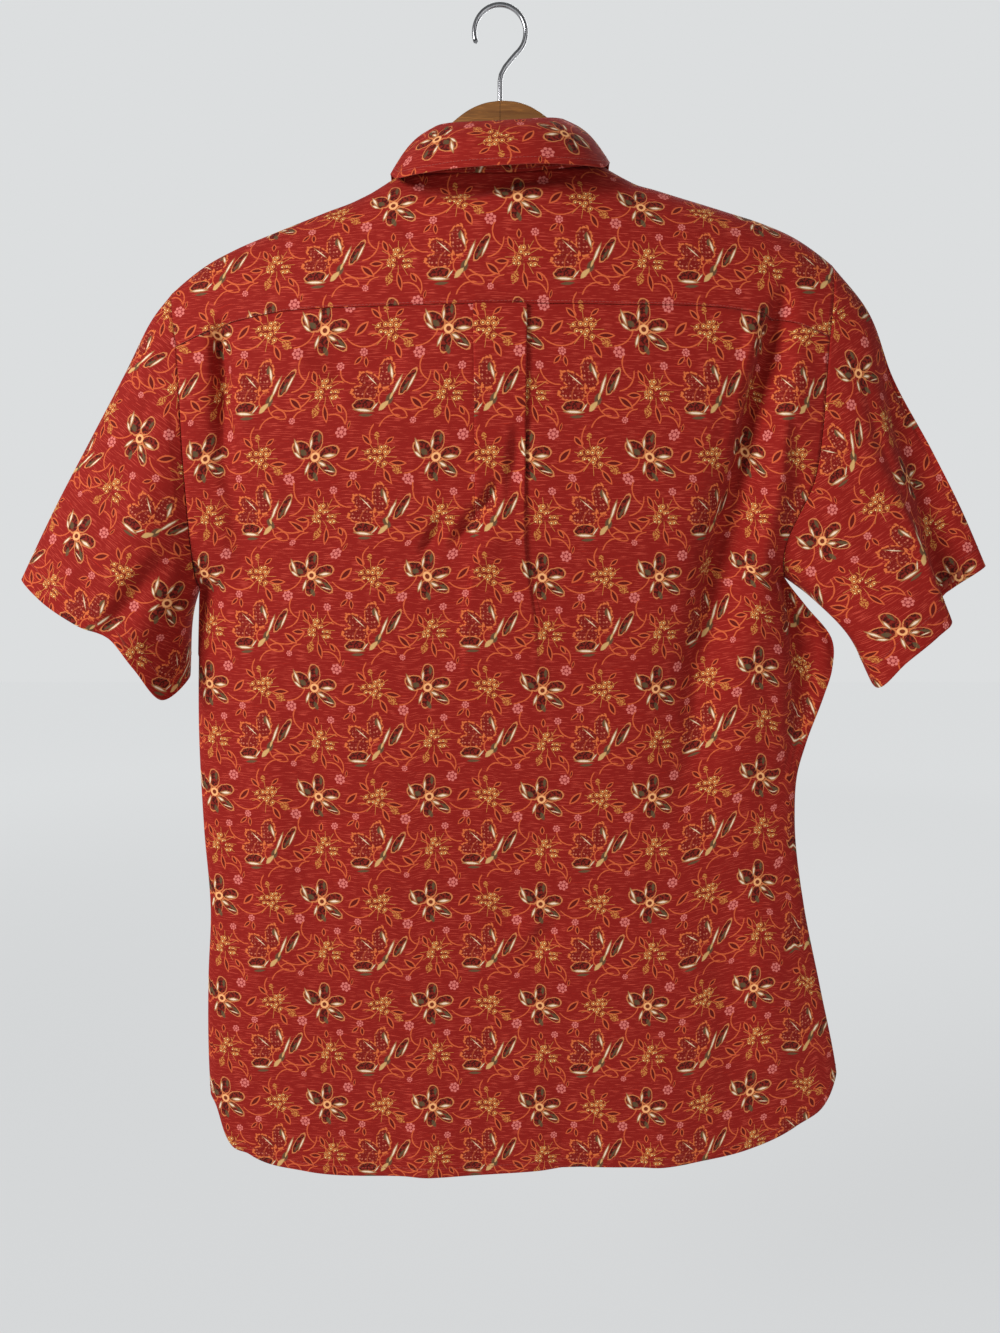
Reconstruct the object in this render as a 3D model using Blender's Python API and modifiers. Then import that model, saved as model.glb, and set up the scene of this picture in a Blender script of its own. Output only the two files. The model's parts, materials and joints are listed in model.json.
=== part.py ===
"""Short-sleeve shirt hanging on a contoured wooden hanger.

Metres, +Z up. The origin is the inner top of the hanger's hook, where a rail would carry it. The shirt's
back faces -Y and its front +Y. The wearer's left is -X, and the left front lies on top at the buttons.

The body is one surface, `torso`, with two coordinates: `t` runs across from the left edge (-1) to the
right edge (+1), and `q` runs down from the shoulder ridge (0), round the cap that lies over the hanger (1),
and then straight down. Each panel is a grid on that surface, with a wall turned inwards.
"""

import math

import bmesh
import bpy
import numpy as np

# Cloth and gaps
WALL = 0.0010
SEAM_GAP = 0.0003
EDGE_INSET = 0.0018

# Columns of the yoke from the ridge to a seam, closest where the cloth bends over the hanger
ARMHOLE_STEPS = np.array([0.0, 0.10, 0.24, 0.46, 0.72, 1.0])

# Shoulders and hanger plane
NECK_HALF_WIDTH = 0.0725
NECK_POINT_Z = -0.1125
NECK_RISE = 0.0198
NECK_DOME = 0.0347
SHOULDER_TILT = 0.045
RIDGE_END_X = 0.242
RIDGE_END_Z = -0.187
CAP_END_Z = -0.235
CAP_END_TILT = 0.0038
DROP_PER_Q = 0.1
UNDERARM_Q = 2.76
UNDERARM_FORK = 0.0009
UNDERARM_FORK_ROWS = 3

# Neck seam, as angles round the cap and round the neck
NECK_BACK_CAP = math.radians(52.2)
NECK_FRONT_CAP = math.radians(76.3)
YOKE_END_ANGLE = math.radians(123.0)
YOKE_CORNER_ANGLE = math.radians(72.0)
FRONT_SEAM_Q = 0.806
FRONT_LAP = 0.016
LAP_STEP = 0.0009
LAP_BLEND = 0.035
LAP_FROM_ANGLE = 2.45
LAP_FULL_ANGLE = 2.9

# Shoulder ridge: distance from the centre, height
RIDGE = (
    (0.0725, -0.1125),
    (0.0967, -0.1257),
    (0.116, -0.1324),
    (0.164, -0.1484),
    (0.193, -0.1585),
    (0.2156, -0.169),
    (0.241, -0.187),
    (0.260, -0.204),
)

# Outline from behind: depth below the origin, half width on the left
LEFT_EDGE = (
    (0.100, 0.2435),
    (0.187, 0.2410),
    (0.235, 0.2350),
    (0.330, 0.2320),
    (0.415, 0.2335),
    (0.4255, 0.2341),
    (0.5352, 0.2395),
    (0.6087, 0.2387),
    (0.6799, 0.2360),
    (0.7337, 0.2399),
    (0.806, 0.2425),
    (0.850, 0.2420),
)

# Outline from behind: depth below the origin, half width on the right
RIGHT_EDGE = (
    (0.100, 0.2450),
    (0.187, 0.2430),
    (0.235, 0.2377),
    (0.330, 0.2325),
    (0.4065, 0.2195),
    (0.430, 0.2380),
    (0.456, 0.2600),
    (0.480, 0.2620),
    (0.5027, 0.2562),
    (0.5376, 0.2447),
    (0.5676, 0.2375),
    (0.6004, 0.2370),
    (0.6714, 0.2471),
    (0.7449, 0.2640),
    (0.821, 0.2811),
    (0.850, 0.2850),
)

# Width of the right half away from its side, where the gusset's flare dies out: depth, half width
RIGHT_PANEL = (
    (0.100, 0.2450),
    (0.187, 0.2430),
    (0.235, 0.2377),
    (0.330, 0.2345),
    (0.450, 0.2385),
    (0.5676, 0.2390),
    (0.6714, 0.2471),
    (0.7449, 0.2640),
    (0.821, 0.2811),
    (0.850, 0.2850),
)
FLARE_SHARPNESS = 4

# Side section: depth below the origin, back y, side seam y, front y
SIDE_SECTION = (
    (0.100, -0.0555, 0.000, 0.0550),
    (0.235, -0.0550, 0.002, 0.0550),
    (0.320, -0.0460, 0.006, 0.0560),
    (0.410, -0.0340, 0.010, 0.0560),
    (0.490, -0.0210, 0.013, 0.0550),
    (0.580, -0.0120, 0.015, 0.0530),
    (0.675, -0.0060, 0.016, 0.0510),
    (0.755, -0.0040, 0.017, 0.0500),
    (0.837, -0.0045, 0.018, 0.0490),
    (0.900, -0.0060, 0.018, 0.0480),
)
ARMHOLE_HALF_DEPTH = 0.033

# Where across the body the armhole's own depth takes over, and the depth below the origin where the
# chest's depth has died out
SIDE_BLEND = (0.78, 0.97)
CHEST_END = 0.47

# Depths between which the section turns from a flat curve with open edges into a rounded tube
TUBE_FROM = 0.37
TUBE_FULL = 0.47
FLATNESS = 2.2
FOLD_EDGE_FADE = 8

# Hem: place across as a share of the half width, height
HEM = (
    (-1.00, -0.838),
    (-0.98, -0.8456),
    (-0.95, -0.8690),
    (-0.86, -0.8858),
    (-0.67, -0.8968),
    (-0.35, -0.8981),
    (0.00, -0.8952),
    (0.19, -0.8915),
    (0.56, -0.8877),
    (0.72, -0.8788),
    (0.86, -0.8613),
    (0.975, -0.834),
    (1.00, -0.8195),
)

# Mean half width of the body at the hem
HEM_HALF_WIDTH = 0.24

# Back yoke seam: place across as a share of the half width, height
BACK_SEAM = (
    (-1.00, -0.2407),
    (-0.86, -0.2290),
    (-0.70, -0.2215),
    (-0.35, -0.2185),
    (0.00, -0.2175),
    (0.35, -0.2175),
    (0.70, -0.2185),
    (0.86, -0.2240),
    (1.00, -0.2342),
)

# Largest folds of the back: each follows its own line, depth below the origin, x, outward height, half width
RIGHT_CREASE = (
    (0.225, 0.194, 0.0000, 0.014),
    (0.266, 0.181, -0.0050, 0.016),
    (0.349, 0.170, -0.0080, 0.018),
    (0.431, 0.1575, -0.0075, 0.020),
    (0.491, 0.146, -0.0060, 0.024),
    (0.559, 0.1385, -0.0035, 0.028),
    (0.640, 0.1340, 0.0000, 0.030),
)
RIGHT_ROLL = (
    (0.225, 0.208, 0.0000, 0.016),
    (0.300, 0.200, 0.0040, 0.018),
    (0.400, 0.190, 0.0055, 0.020),
    (0.491, 0.178, 0.0045, 0.024),
    (0.600, 0.168, 0.0000, 0.030),
)
LEFT_CREASE = (
    (0.222, -0.199, 0.0000, 0.012),
    (0.250, -0.200, -0.0030, 0.013),
    (0.293, -0.205, -0.0040, 0.014),
    (0.335, -0.213, -0.0025, 0.015),
    (0.380, -0.220, 0.0000, 0.016),
)
SIDE_BILLOW = (
    (0.460, -0.110, 0.0000, 0.050),
    (0.560, -0.105, 0.0030, 0.060),
    (0.680, -0.115, 0.0035, 0.060),
    (0.800, -0.120, 0.0000, 0.060),
)
BACK_FOLDS = (RIGHT_CREASE, RIGHT_ROLL, LEFT_CREASE, SIDE_BILLOW)

# Largest folds of the front, in the same columns
FRONT_LEFT_FOLD = (
    (0.240, -0.185, 0.0000, 0.016),
    (0.330, -0.172, -0.0050, 0.018),
    (0.450, -0.150, -0.0055, 0.022),
    (0.600, -0.135, 0.0000, 0.030),
)
FRONT_RIGHT_FOLD = (
    (0.240, 0.188, 0.0000, 0.016),
    (0.330, 0.176, -0.0060, 0.018),
    (0.450, 0.158, -0.0065, 0.022),
    (0.600, 0.142, 0.0000, 0.030),
)
FRONT_FOLDS = (FRONT_LEFT_FOLD, FRONT_RIGHT_FOLD)

# Box pleat under the yoke
STRIP_HALF_WIDTH = 0.0185
UNDERFOLD = 0.0085
TURN_OUT_RADIUS = 0.0013
TURN_IN_RADIUS = 0.0003
PLEAT_FADE = 0.290
PLEAT_FLAT_FROM = 0.45

# Left sleeve's cuff: degrees round the sleeve from its top, over the back, x, y, z
LEFT_CUFF = (
    (0, -0.3670, 0.000, -0.4087),
    (30, -0.3430, -0.020, -0.4260),
    (60, -0.3140, -0.031, -0.4420),
    (90, -0.2890, -0.034, -0.4530),
    (120, -0.2730, -0.031, -0.4745),
    (150, -0.2575, -0.018, -0.5000),
    (180, -0.2440, 0.008, -0.4870),
    (210, -0.2530, 0.028, -0.4780),
    (240, -0.2730, 0.036, -0.4650),
    (270, -0.2980, 0.038, -0.4500),
    (300, -0.3240, 0.034, -0.4360),
    (330, -0.3500, 0.020, -0.4210),
)

# Right sleeve's cuff, with the fold that shows in front of the outer lobe
RIGHT_CUFF = (
    (0, 0.3730, 0.002, -0.3989),
    (30, 0.3490, -0.006, -0.4150),
    (57, 0.3340, -0.012, -0.4290),
    (75, 0.3355, -0.029, -0.4400),
    (92, 0.3230, -0.036, -0.4500),
    (120, 0.3010, -0.036, -0.4690),
    (150, 0.2850, -0.021, -0.4900),
    (180, 0.2830, 0.008, -0.4670),
    (210, 0.2900, 0.030, -0.4520),
    (240, 0.3060, 0.038, -0.4400),
    (270, 0.3250, 0.039, -0.4280),
    (300, 0.3440, 0.034, -0.4170),
    (330, 0.3630, 0.020, -0.4050),
)

# Sleeve's upper line: share of the way from armhole to cuff, x, z
LEFT_TOP_LINE = (
    (0.00, -0.2410, -0.1978),
    (0.13, -0.2590, -0.2190),
    (0.25, -0.2766, -0.2501),
    (0.50, -0.3060, -0.2999),
    (0.77, -0.3397, -0.3577),
    (1.00, -0.3670, -0.4087),
)
RIGHT_TOP_LINE = (
    (0.00, 0.2430, -0.1761),
    (0.15, 0.2725, -0.2079),
    (0.34, 0.2942, -0.2570),
    (0.58, 0.3262, -0.3103),
    (0.80, 0.3522, -0.3565),
    (1.00, 0.3730, -0.3989),
)

# Sleeve's under line: share of the way, x, z
LEFT_UNDER_LINE = (
    (0.00, -0.2335, -0.4148),
    (0.30, -0.2395, -0.4340),
    (1.00, -0.2440, -0.4870),
)
RIGHT_UNDER_LINE = (
    (0.00, 0.2195, -0.4072),
    (0.30, 0.2430, -0.4240),
    (0.65, 0.2680, -0.4430),
    (1.00, 0.2830, -0.4670),
)

# Collar stand's upper edge
STAND_TOP_HALF_WIDTH = 0.049
STAND_TOP_BACK_Y = -0.0395
STAND_TOP_FRONT_Y = 0.0480
STAND_TOP_SIDE_Z = -0.0860
STAND_BACK_DROP = 0.0085
STAND_FRONT_DROP = 0.0820
STAND_BULGE = 0.0012
COLLAR_TILT = 0.050

# Collar leaf's edge: degrees from the centre back, x, y, z
LEAF_EDGE = (
    (0, 0.0000, -0.0667, -0.1310),
    (20, 0.0290, -0.0640, -0.1305),
    (40, 0.0560, -0.0530, -0.1290),
    (60, 0.0735, -0.0330, -0.1240),
    (75, 0.0785, -0.0150, -0.1150),
    (90, 0.0800, 0.0030, -0.1115),
    (110, 0.0800, 0.0300, -0.1295),
    (130, 0.0745, 0.0520, -0.1620),
    (150, 0.0625, 0.0625, -0.1940),
    (172, 0.0400, 0.0665, -0.2260),
)
LEAF_END_ANGLE = math.radians(172.0)
LEAF_BOW = 0.0035

# Collar leaf's roll over the stand: outward distance, height above the stand's edge
LEAF_ROLL = (
    (-0.0008, 0.0016),
    (0.0006, 0.0021),
    (0.0025, 0.0013),
)

# Hanger
HANGER_HALF_THICKNESS = 0.0065
HANGER_EDGE_RADIUS = 0.0025
HANGER_GAP = 0.0009
HANGER_END_X = 0.197
HOOK_WIRE_RADIUS = 0.0017
HOOK_BEND_RADIUS = 0.0185
HOOK_HOLE_DEPTH = 0.014
HOOK_BASE_Z = -0.065
DRILL_LENGTH = 0.04
HOOK_STEPS = range(-50, 201, 18)

# Bend of the wire between its stem and the round hook: x, z
HOOK_BEND = (
    (0.0, -0.0660),
    (0.0, -0.0560),
    (0.0, -0.0500),
    (0.0008, -0.0455),
    (0.0035, -0.0405),
    (0.0080, -0.0352),
)

# Distances from the hanger's middle at which its outline is worked out
ARM_PLACES = (0.006, 0.012, 0.018, 0.0227, 0.032, 0.041, 0.050, 0.0565, 0.065, 0.076,
              0.092, 0.110, 0.130, 0.150, 0.170, 0.185)
ARM_TIP_RUN = 0.004

# Half of the hanger's outline inside the neck: x, upper z
CROWN_TOP = (
    (0.0000, -0.0650),
    (0.0120, -0.0665),
    (0.0227, -0.0705),
    (0.0320, -0.0765),
    (0.0410, -0.0840),
    (0.0565, -0.0995),
    (0.0725, -0.1170),
)

# Depth of the wooden arm: x, upper edge to lower edge
ARM_DEPTH = (
    (0.000, 0.046),
    (0.040, 0.040),
    (0.080, 0.030),
    (0.140, 0.025),
    (0.197, 0.018),
)

# Buttons
BUTTON_RADIUS = 0.0056
BUTTON_THICKNESS = 0.0024
BUTTON_DISH_RADIUS = 0.0034
BUTTON_DISH_DEPTH = 0.0007
BUTTON_GAP = 0.0004
FIRST_BUTTON_Z = -0.262
BUTTON_PITCH = 0.088
BUTTON_COUNT = 7

# Colours and surfaces: red, green, blue, roughness, metallic
MATERIALS = {
    "cotton": (0.46, 0.10, 0.075, 0.85, 0.0),
    "wood": (0.62, 0.42, 0.24, 0.45, 0.0),
    "steel": (0.60, 0.60, 0.62, 0.25, 1.0),
    "button": (0.34, 0.10, 0.09, 0.35, 0.0),
}


def along(rows, places):
    """Reads a table on a smooth curve through its rows, whose first column is the place."""
    table = np.asarray(rows, dtype=float)
    knots, values = table[:, 0], table[:, 1:]
    widths = np.diff(knots)[:, None]
    slopes = np.diff(values, axis=0) / widths
    leans = np.zeros_like(values)
    leans[1:-1] = (slopes[1:] * widths[:-1] + slopes[:-1] * widths[1:]) / (widths[1:] + widths[:-1])
    leans[0], leans[-1] = slopes[0], slopes[-1]
    places = np.clip(np.asarray(places, dtype=float), knots[0], knots[-1])
    row = np.clip(np.searchsorted(knots, places, side="right") - 1, 0, len(knots) - 2)
    width = widths[row, 0][..., None]
    share = ((places - knots[row])[..., None]) / width
    start, end = values[row], values[row + 1]
    bend = (2 * share**3 - 3 * share**2 + 1) * start + (3 * share**2 - 2 * share**3) * end
    bend += width * (share**3 - 2 * share**2 + share) * leans[row]
    bend += width * (share**3 - share**2) * leans[row + 1]
    return bend[..., 0] if values.shape[1] == 1 else bend


def around(rows, degrees):
    """Reads a closed table, whose first column is in degrees and starts at 0."""
    table = [tuple(row) for row in rows]
    before = [(row[0] - 360, *row[1:]) for row in table[-2:]]
    after = [(row[0] + 360, *row[1:]) for row in table[:2]]
    return along(before + table + after, np.mod(degrees, 360.0))


def ease(low, high, value):
    """Rises smoothly from 0 at low to 1 at high."""
    share = np.clip((value - low) / (high - low), 0.0, 1.0)
    return share * share * (3 - 2 * share)


def ridge(x):
    """Height of the line over the hanger. Between the neck points it is the dome that the neck is cut from."""
    width = np.abs(x)
    dome = np.clip(1 - (width / NECK_HALF_WIDTH) ** 2, 0, 1)
    inside = NECK_POINT_Z + NECK_RISE * dome + NECK_DOME * dome**2
    outside = along(RIDGE, width)
    return np.where(width < NECK_HALF_WIDTH, inside, outside) + SHOULDER_TILT * x


def half_width(t, z):
    return np.where(t < 0, along(LEFT_EDGE, -z), along(RIGHT_EDGE, -z))


def fold_height(folds, x, z):
    """Outward height of the folds at a place: each row table is one fold along its own line."""
    height = np.zeros(np.broadcast(x, z).shape)
    for rows in folds:
        line = along(rows, -z)
        reach = np.maximum(line[..., 2], 0.001)
        inside = (-z > rows[0][0]) & (-z < rows[-1][0])
        height += np.where(inside, line[..., 1], 0.0) * np.exp(-(((x - line[..., 0]) / reach) ** 2))
    return height


def torso(t, q, face):
    """Points of the body's outer surface. face is -1 for the back and +1 for the front."""
    t, q = np.broadcast_arrays(np.asarray(t, dtype=float), np.asarray(q, dtype=float))
    cap_end = CAP_END_Z + CAP_END_TILT * t
    turn = np.minimum(q, 1.0) * math.pi / 2
    low = cap_end - np.maximum(q - 1.0, 0.0) * DROP_PER_Q
    ridge_width = half_width(t, np.full_like(t, RIDGE_END_Z))
    width = half_width(t, low)
    width = width + (ridge_width - width) * np.cos(turn)
    below = ease(TUBE_FROM, TUBE_FULL, -low)
    across = (1 - below) * t + below * np.sin(t * math.pi / 2)
    flare = np.where(t > 0, half_width(t, low) - along(RIGHT_PANEL, -low), 0.0)
    x = width * across - flare * (across - np.abs(t) ** FLARE_SHARPNESS)
    z = np.where(q > 1.0, low, cap_end + (ridge(x) - cap_end) * np.cos(turn))
    section = along(SIDE_SECTION, -low)
    middle = section[..., 0] if face < 0 else section[..., 2]
    near_side = ease(*SIDE_BLEND, np.abs(t))
    depth = armhole_half_depth(t, low) * near_side + chest_half_depth(t, low) * (1 - near_side)
    edge = section[..., 1] + face * depth
    fullness = (1 - below) * (1 - np.abs(t) ** FLATNESS) + below * np.cos(t * math.pi / 2)
    y = (edge + (middle - edge) * fullness) * np.sin(turn)
    folds = BACK_FOLDS if face < 0 else FRONT_FOLDS
    y = y + face * fold_height(folds, x, z) * np.clip((1 - np.abs(t)) * FOLD_EDGE_FADE, 0, 1)
    return np.stack([x, y, z], axis=-1)


def armhole_span(t):
    """Middle height and half height of the armhole on the side of t."""
    top = RIDGE_END_Z + SHOULDER_TILT * RIDGE_END_X * np.sign(t)
    bottom = CAP_END_Z + CAP_END_TILT * np.sign(t) - (UNDERARM_Q - 1) * DROP_PER_Q
    return (top + bottom) / 2, (top - bottom) / 2


def armhole_half_depth(t, z):
    """Half depth of the armhole's opening in Y, which shuts at the underarm."""
    middle, reach = armhole_span(t)
    return ARMHOLE_HALF_DEPTH * np.sqrt(np.clip(1 - ((z - middle) / reach) ** 2, 0, 1))


def chest_half_depth(t, z):
    """The same depth inwards from the armhole, where it dies out slowly below the underarm."""
    middle, _ = armhole_span(t)
    lower = ARMHOLE_HALF_DEPTH * (1 - ease(0, 1, (middle - z) / (middle + CHEST_END)))
    return np.where(z > middle, armhole_half_depth(t, z), lower)


def q_at_height(t, z):
    """Turns a height into the q that gives it, at a place across."""
    cap_end = CAP_END_Z + CAP_END_TILT * t
    low_width = half_width(t, cap_end)
    ridge_width = half_width(t, np.full_like(cap_end, RIDGE_END_Z))
    cosine = np.zeros_like(cap_end)
    for _ in range(5):
        x = t * (low_width + (ridge_width - low_width) * cosine)
        cosine = np.clip((z - cap_end) / (ridge(x) - cap_end), 0, 1)
    return np.where(z > cap_end, np.arccos(cosine) / (math.pi / 2), 1 + (cap_end - z) / DROP_PER_Q)


def neck_place(angle):
    """t and q of the neck seam, at an angle from the centre back; a q below 0 is on the back."""
    cap = np.where(np.cos(angle) > 0, NECK_BACK_CAP, NECK_FRONT_CAP)
    q = -cap * np.cos(angle) / (math.pi / 2)
    x = NECK_HALF_WIDTH * np.sin(angle)
    return x / half_width(x, np.full_like(x, RIDGE_END_Z)), q


def both_faces(t, q):
    """Points of the body where a q below 0 is on the back and one above 0 on the front."""
    back = torso(t, np.abs(q), -1)
    front = torso(t, np.abs(q), 1)
    return np.where((q < 0)[..., None], back, front)


def eased_spread(low, high, count, crowd):
    """Numbers from low to high, closer together at both ends by the share that crowd gives."""
    share = np.linspace(0, 1, count)
    share = (1 - crowd) * share + crowd * (1 - np.cos(share * math.pi)) / 2
    return low + (high - low) * share


def yoke_points():
    """Columns run round the neck, rows from the neck seam outwards."""
    seam_columns, rows = 37, 8
    left_seam = q_at_height(np.array(-1.0), np.array(BACK_SEAM[0][1]))
    right_seam = q_at_height(np.array(1.0), np.array(BACK_SEAM[-1][1]))
    seam_t = np.linspace(-1 + EDGE_INSET, 1 - EDGE_INSET, seam_columns)
    seam_q = -q_at_height(seam_t, along(BACK_SEAM, seam_t) + SEAM_GAP)
    left_q = np.concatenate([FRONT_SEAM_Q * ARMHOLE_STEPS[::-1], -float(left_seam) * ARMHOLE_STEPS[1:-1]])
    right_q = np.concatenate([-float(right_seam) * ARMHOLE_STEPS[-2:0:-1], FRONT_SEAM_Q * ARMHOLE_STEPS])
    side_t = np.full(left_q.shape, 1 - EDGE_INSET)
    outer_t = np.concatenate([-side_t, seam_t, side_t])
    outer_q = np.concatenate([left_q, seam_q, right_q])
    left_angles = np.interp(left_q, [-float(left_seam), 0, FRONT_SEAM_Q],
                            [YOKE_CORNER_ANGLE, math.pi / 2, YOKE_END_ANGLE])
    right_angles = np.interp(right_q, [-float(right_seam), 0, FRONT_SEAM_Q],
                             [YOKE_CORNER_ANGLE, math.pi / 2, YOKE_END_ANGLE])
    middle_angles = np.linspace(-YOKE_CORNER_ANGLE, YOKE_CORNER_ANGLE, seam_columns)
    angles = np.concatenate([-left_angles, middle_angles, right_angles])
    neck_t, neck_q = neck_place(angles)
    share = np.linspace(0, 1, rows)[:, None]
    t = neck_t + (outer_t - neck_t) * share
    q = neck_q + (outer_q - neck_q) * share
    return both_faces(t, q)


def pleat_path():
    """Half of the box pleat's section, from its middle outwards: flat distance, folded x, outward height."""
    top = 2 * (TURN_IN_RADIUS + TURN_OUT_RADIUS)
    turn_x = STRIP_HALF_WIDTH - TURN_OUT_RADIUS
    inner_x = STRIP_HALF_WIDTH - UNDERFOLD
    path = [(0.0, top), (turn_x * 0.5, top)]
    for angle in (90, 45, 0, -45, -90):
        turn = math.radians(angle)
        path.append((turn_x + TURN_OUT_RADIUS * math.cos(turn),
                     top - TURN_OUT_RADIUS + TURN_OUT_RADIUS * math.sin(turn)))
    for angle in (90, 30, -30, -90):
        turn = math.radians(angle)
        path.append((inner_x - TURN_IN_RADIUS * math.cos(turn),
                     TURN_IN_RADIUS + TURN_IN_RADIUS * math.sin(turn)))
    path.append((STRIP_HALF_WIDTH + 0.002, 0.0))
    points = np.array(path)
    steps = np.hypot(*np.diff(points, axis=0).T)
    flat = np.concatenate([[0.0], np.cumsum(steps)])
    return np.column_stack([flat, points])


def back_points():
    """Columns run across with the pleat's folds in the middle, rows from the yoke seam to the hem."""
    half = pleat_path()
    pleat = np.concatenate([half[:0:-1] * [-1, -1, 1], half])
    hidden = half[-1, 0] - half[-1, 1]
    side = eased_spread(0, 1, 12, 0.5)[1:]
    top_edge = float(half_width(np.array(-1.0), np.array(CAP_END_Z)))
    outer = half[-1, 1] + (top_edge - half[-1, 1]) * side
    folded = np.concatenate([-outer[::-1], pleat[:, 1], outer])
    lift = np.concatenate([np.zeros(len(side)), pleat[:, 2], np.zeros(len(side))])
    flat = np.concatenate([-(outer + hidden)[::-1], pleat[:, 0], outer + hidden])
    folded_t = folded / top_edge * (1 - EDGE_INSET)
    flat_t = flat / (top_edge + hidden) * (1 - EDGE_INSET)
    across = flat_t[None, :]
    upper = np.linspace(0, 1, 9)
    lower = np.linspace(0, 1, 13)[1:]
    top_q = q_at_height(folded_t, along(BACK_SEAM, folded_t) - SEAM_GAP)
    hem_q = 1 + (CAP_END_Z + CAP_END_TILT * flat_t - along(HEM, np.sin(flat_t * math.pi / 2))) / DROP_PER_Q
    q = np.concatenate([
        top_q + (UNDERARM_Q - top_q) * upper[:, None],
        UNDERARM_Q + (hem_q - UNDERARM_Q) * lower[:, None],
    ])
    opened = np.clip((q - 1) * DROP_PER_Q / PLEAT_FADE, 0, 1)
    t = folded_t + (across - folded_t) * opened
    points = torso(t, q, -1)
    stay = 1 - ease(PLEAT_FLAT_FROM, 1.0, opened)
    points[..., 1] -= lift * stay
    side_seam_band(points[len(upper) - 1:], 0, 1, -1)
    side_seam_band(points[len(upper) - 1:], -1, -2, -1)
    return points


def side_seam_band(points, column, neighbour, face):
    """Turns the last column before a side seam towards the other face, so that the edges meet flat."""
    fork = np.clip(1 - np.arange(len(points)) / UNDERARM_FORK_ROWS, 0, 1)
    points[:, column, 1] += face * (SEAM_GAP / 2 + UNDERARM_FORK * fork)
    points[:, neighbour, 0] = points[:, column, 0] * 0.9 + points[:, neighbour, 0] * 0.1


def front_points(side):
    """One front, side -1 or +1. Columns run from the side seam to the centre, rows from top to hem."""
    seam_columns, neck_columns = 11, 8
    lap_angle = math.asin(FRONT_LAP / NECK_HALF_WIDTH)
    seam_share = eased_spread(0, 1, seam_columns, 0.3)
    neck_t, neck_q = neck_place(np.array([YOKE_END_ANGLE]))
    seam_t = (1 - EDGE_INSET) + (neck_t[0] - (1 - EDGE_INSET)) * seam_share
    seam_q = FRONT_SEAM_Q + (neck_q[0] - FRONT_SEAM_Q) * seam_share
    seam_height = torso(seam_t, seam_q, 1)[:, 2]
    seam_q = q_at_height(seam_t, seam_height - 2 * SEAM_GAP)
    angles = np.linspace(YOKE_END_ANGLE, math.pi + lap_angle, neck_columns)[1:]
    collar_t, collar_q = neck_place(angles)
    top_t = np.concatenate([seam_t, collar_t]) * side
    top_q = np.concatenate([seam_q, collar_q])
    count = seam_columns + neck_columns - 1
    end_t = -FRONT_LAP / HEM_HALF_WIDTH
    low_t = (1 - EDGE_INSET - (1 - EDGE_INSET - end_t) * eased_spread(0, 1, count, 0.35)) * side
    hem_q = 1 + (CAP_END_Z + CAP_END_TILT * low_t - along(HEM, np.sin(low_t * math.pi / 2))) / DROP_PER_Q
    upper = np.linspace(0, 1, 8)[:, None]
    lower = np.linspace(0, 1, 10)[1:, None]
    q = np.concatenate([top_q + (UNDERARM_Q - top_q) * upper, UNDERARM_Q + (hem_q - UNDERARM_Q) * lower])
    share = np.concatenate([upper, np.ones((len(lower), 1))])
    t = top_t + (low_t - top_t) * ease(0, 1, share)
    points = torso(t, q, 1)
    lap = ease(-LAP_BLEND, 0.0, -side * points[..., 0])
    points[..., 1] -= side * LAP_STEP * lap
    side_seam_band(points[len(upper) - 1:], 0, 1, 1)
    return points


def sleeve_points(side, cuff, top_line, under_line):
    """Columns run round the sleeve from its top over the back, rows from the armhole to the cuff."""
    columns, rows = 30, 11
    degrees = np.linspace(0, 360, columns + 1)[:-1]
    turn = np.radians(degrees)
    top = RIDGE_END_Z + SHOULDER_TILT * RIDGE_END_X * side
    bottom = CAP_END_Z + CAP_END_TILT * side - (UNDERARM_Q - 1) * DROP_PER_Q
    height = (top + bottom) / 2 + (top - bottom) / 2 * np.cos(turn)
    t = np.full(columns, float(side))
    q = q_at_height(t, height)
    q = np.where(degrees == 0, 0.0, np.minimum(q, UNDERARM_Q))
    start = np.where((degrees <= 180)[:, None], torso(t, q, -1), torso(t, q, 1))
    start[:, 0] += side * SEAM_GAP * (1 + 2 * (1 - np.cos(turn)))
    end = around(cuff, degrees)
    share = np.linspace(0, 1, rows)[:, None]
    points = start + (end - start) * share[..., None]
    upper_pull = ((1 + np.cos(turn)) / 2)[None, :, None] ** 1.5
    under_pull = ((1 - np.cos(turn)) / 2)[None, :, None] ** 1.5
    for line, pull, column in ((top_line, upper_pull, 0), (under_line, under_pull, columns // 2)):
        wanted = along(line, share[:, 0])
        chord = points[:, column, :][:, [0, 2]]
        shift = (wanted - chord) - (wanted - chord)[0] * (1 - share) - (wanted - chord)[-1] * share
        move = np.zeros((rows, 1, 3))
        move[:, 0, 0], move[:, 0, 2] = shift[:, 0], shift[:, 1]
        points = points + move * pull
    return points


def stand_top(angle):
    """Upper edge of the collar stand, at an angle from the centre back."""
    cosine = np.cos(angle)
    x = STAND_TOP_HALF_WIDTH * np.sin(angle)
    y = np.where(cosine > 0, STAND_TOP_BACK_Y * cosine, -STAND_TOP_FRONT_Y * cosine)
    z = STAND_TOP_SIDE_Z - np.where(cosine > 0, STAND_BACK_DROP, STAND_FRONT_DROP) * cosine**2
    return np.stack([x, y, z + COLLAR_TILT * x], axis=-1)


def lap_offset(angle):
    """Outward shift at the centre front, where the left end lies over the right one."""
    return LAP_STEP * ease(LAP_FROM_ANGLE, LAP_FULL_ANGLE, np.abs(angle)) * -np.sign(angle)


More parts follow.
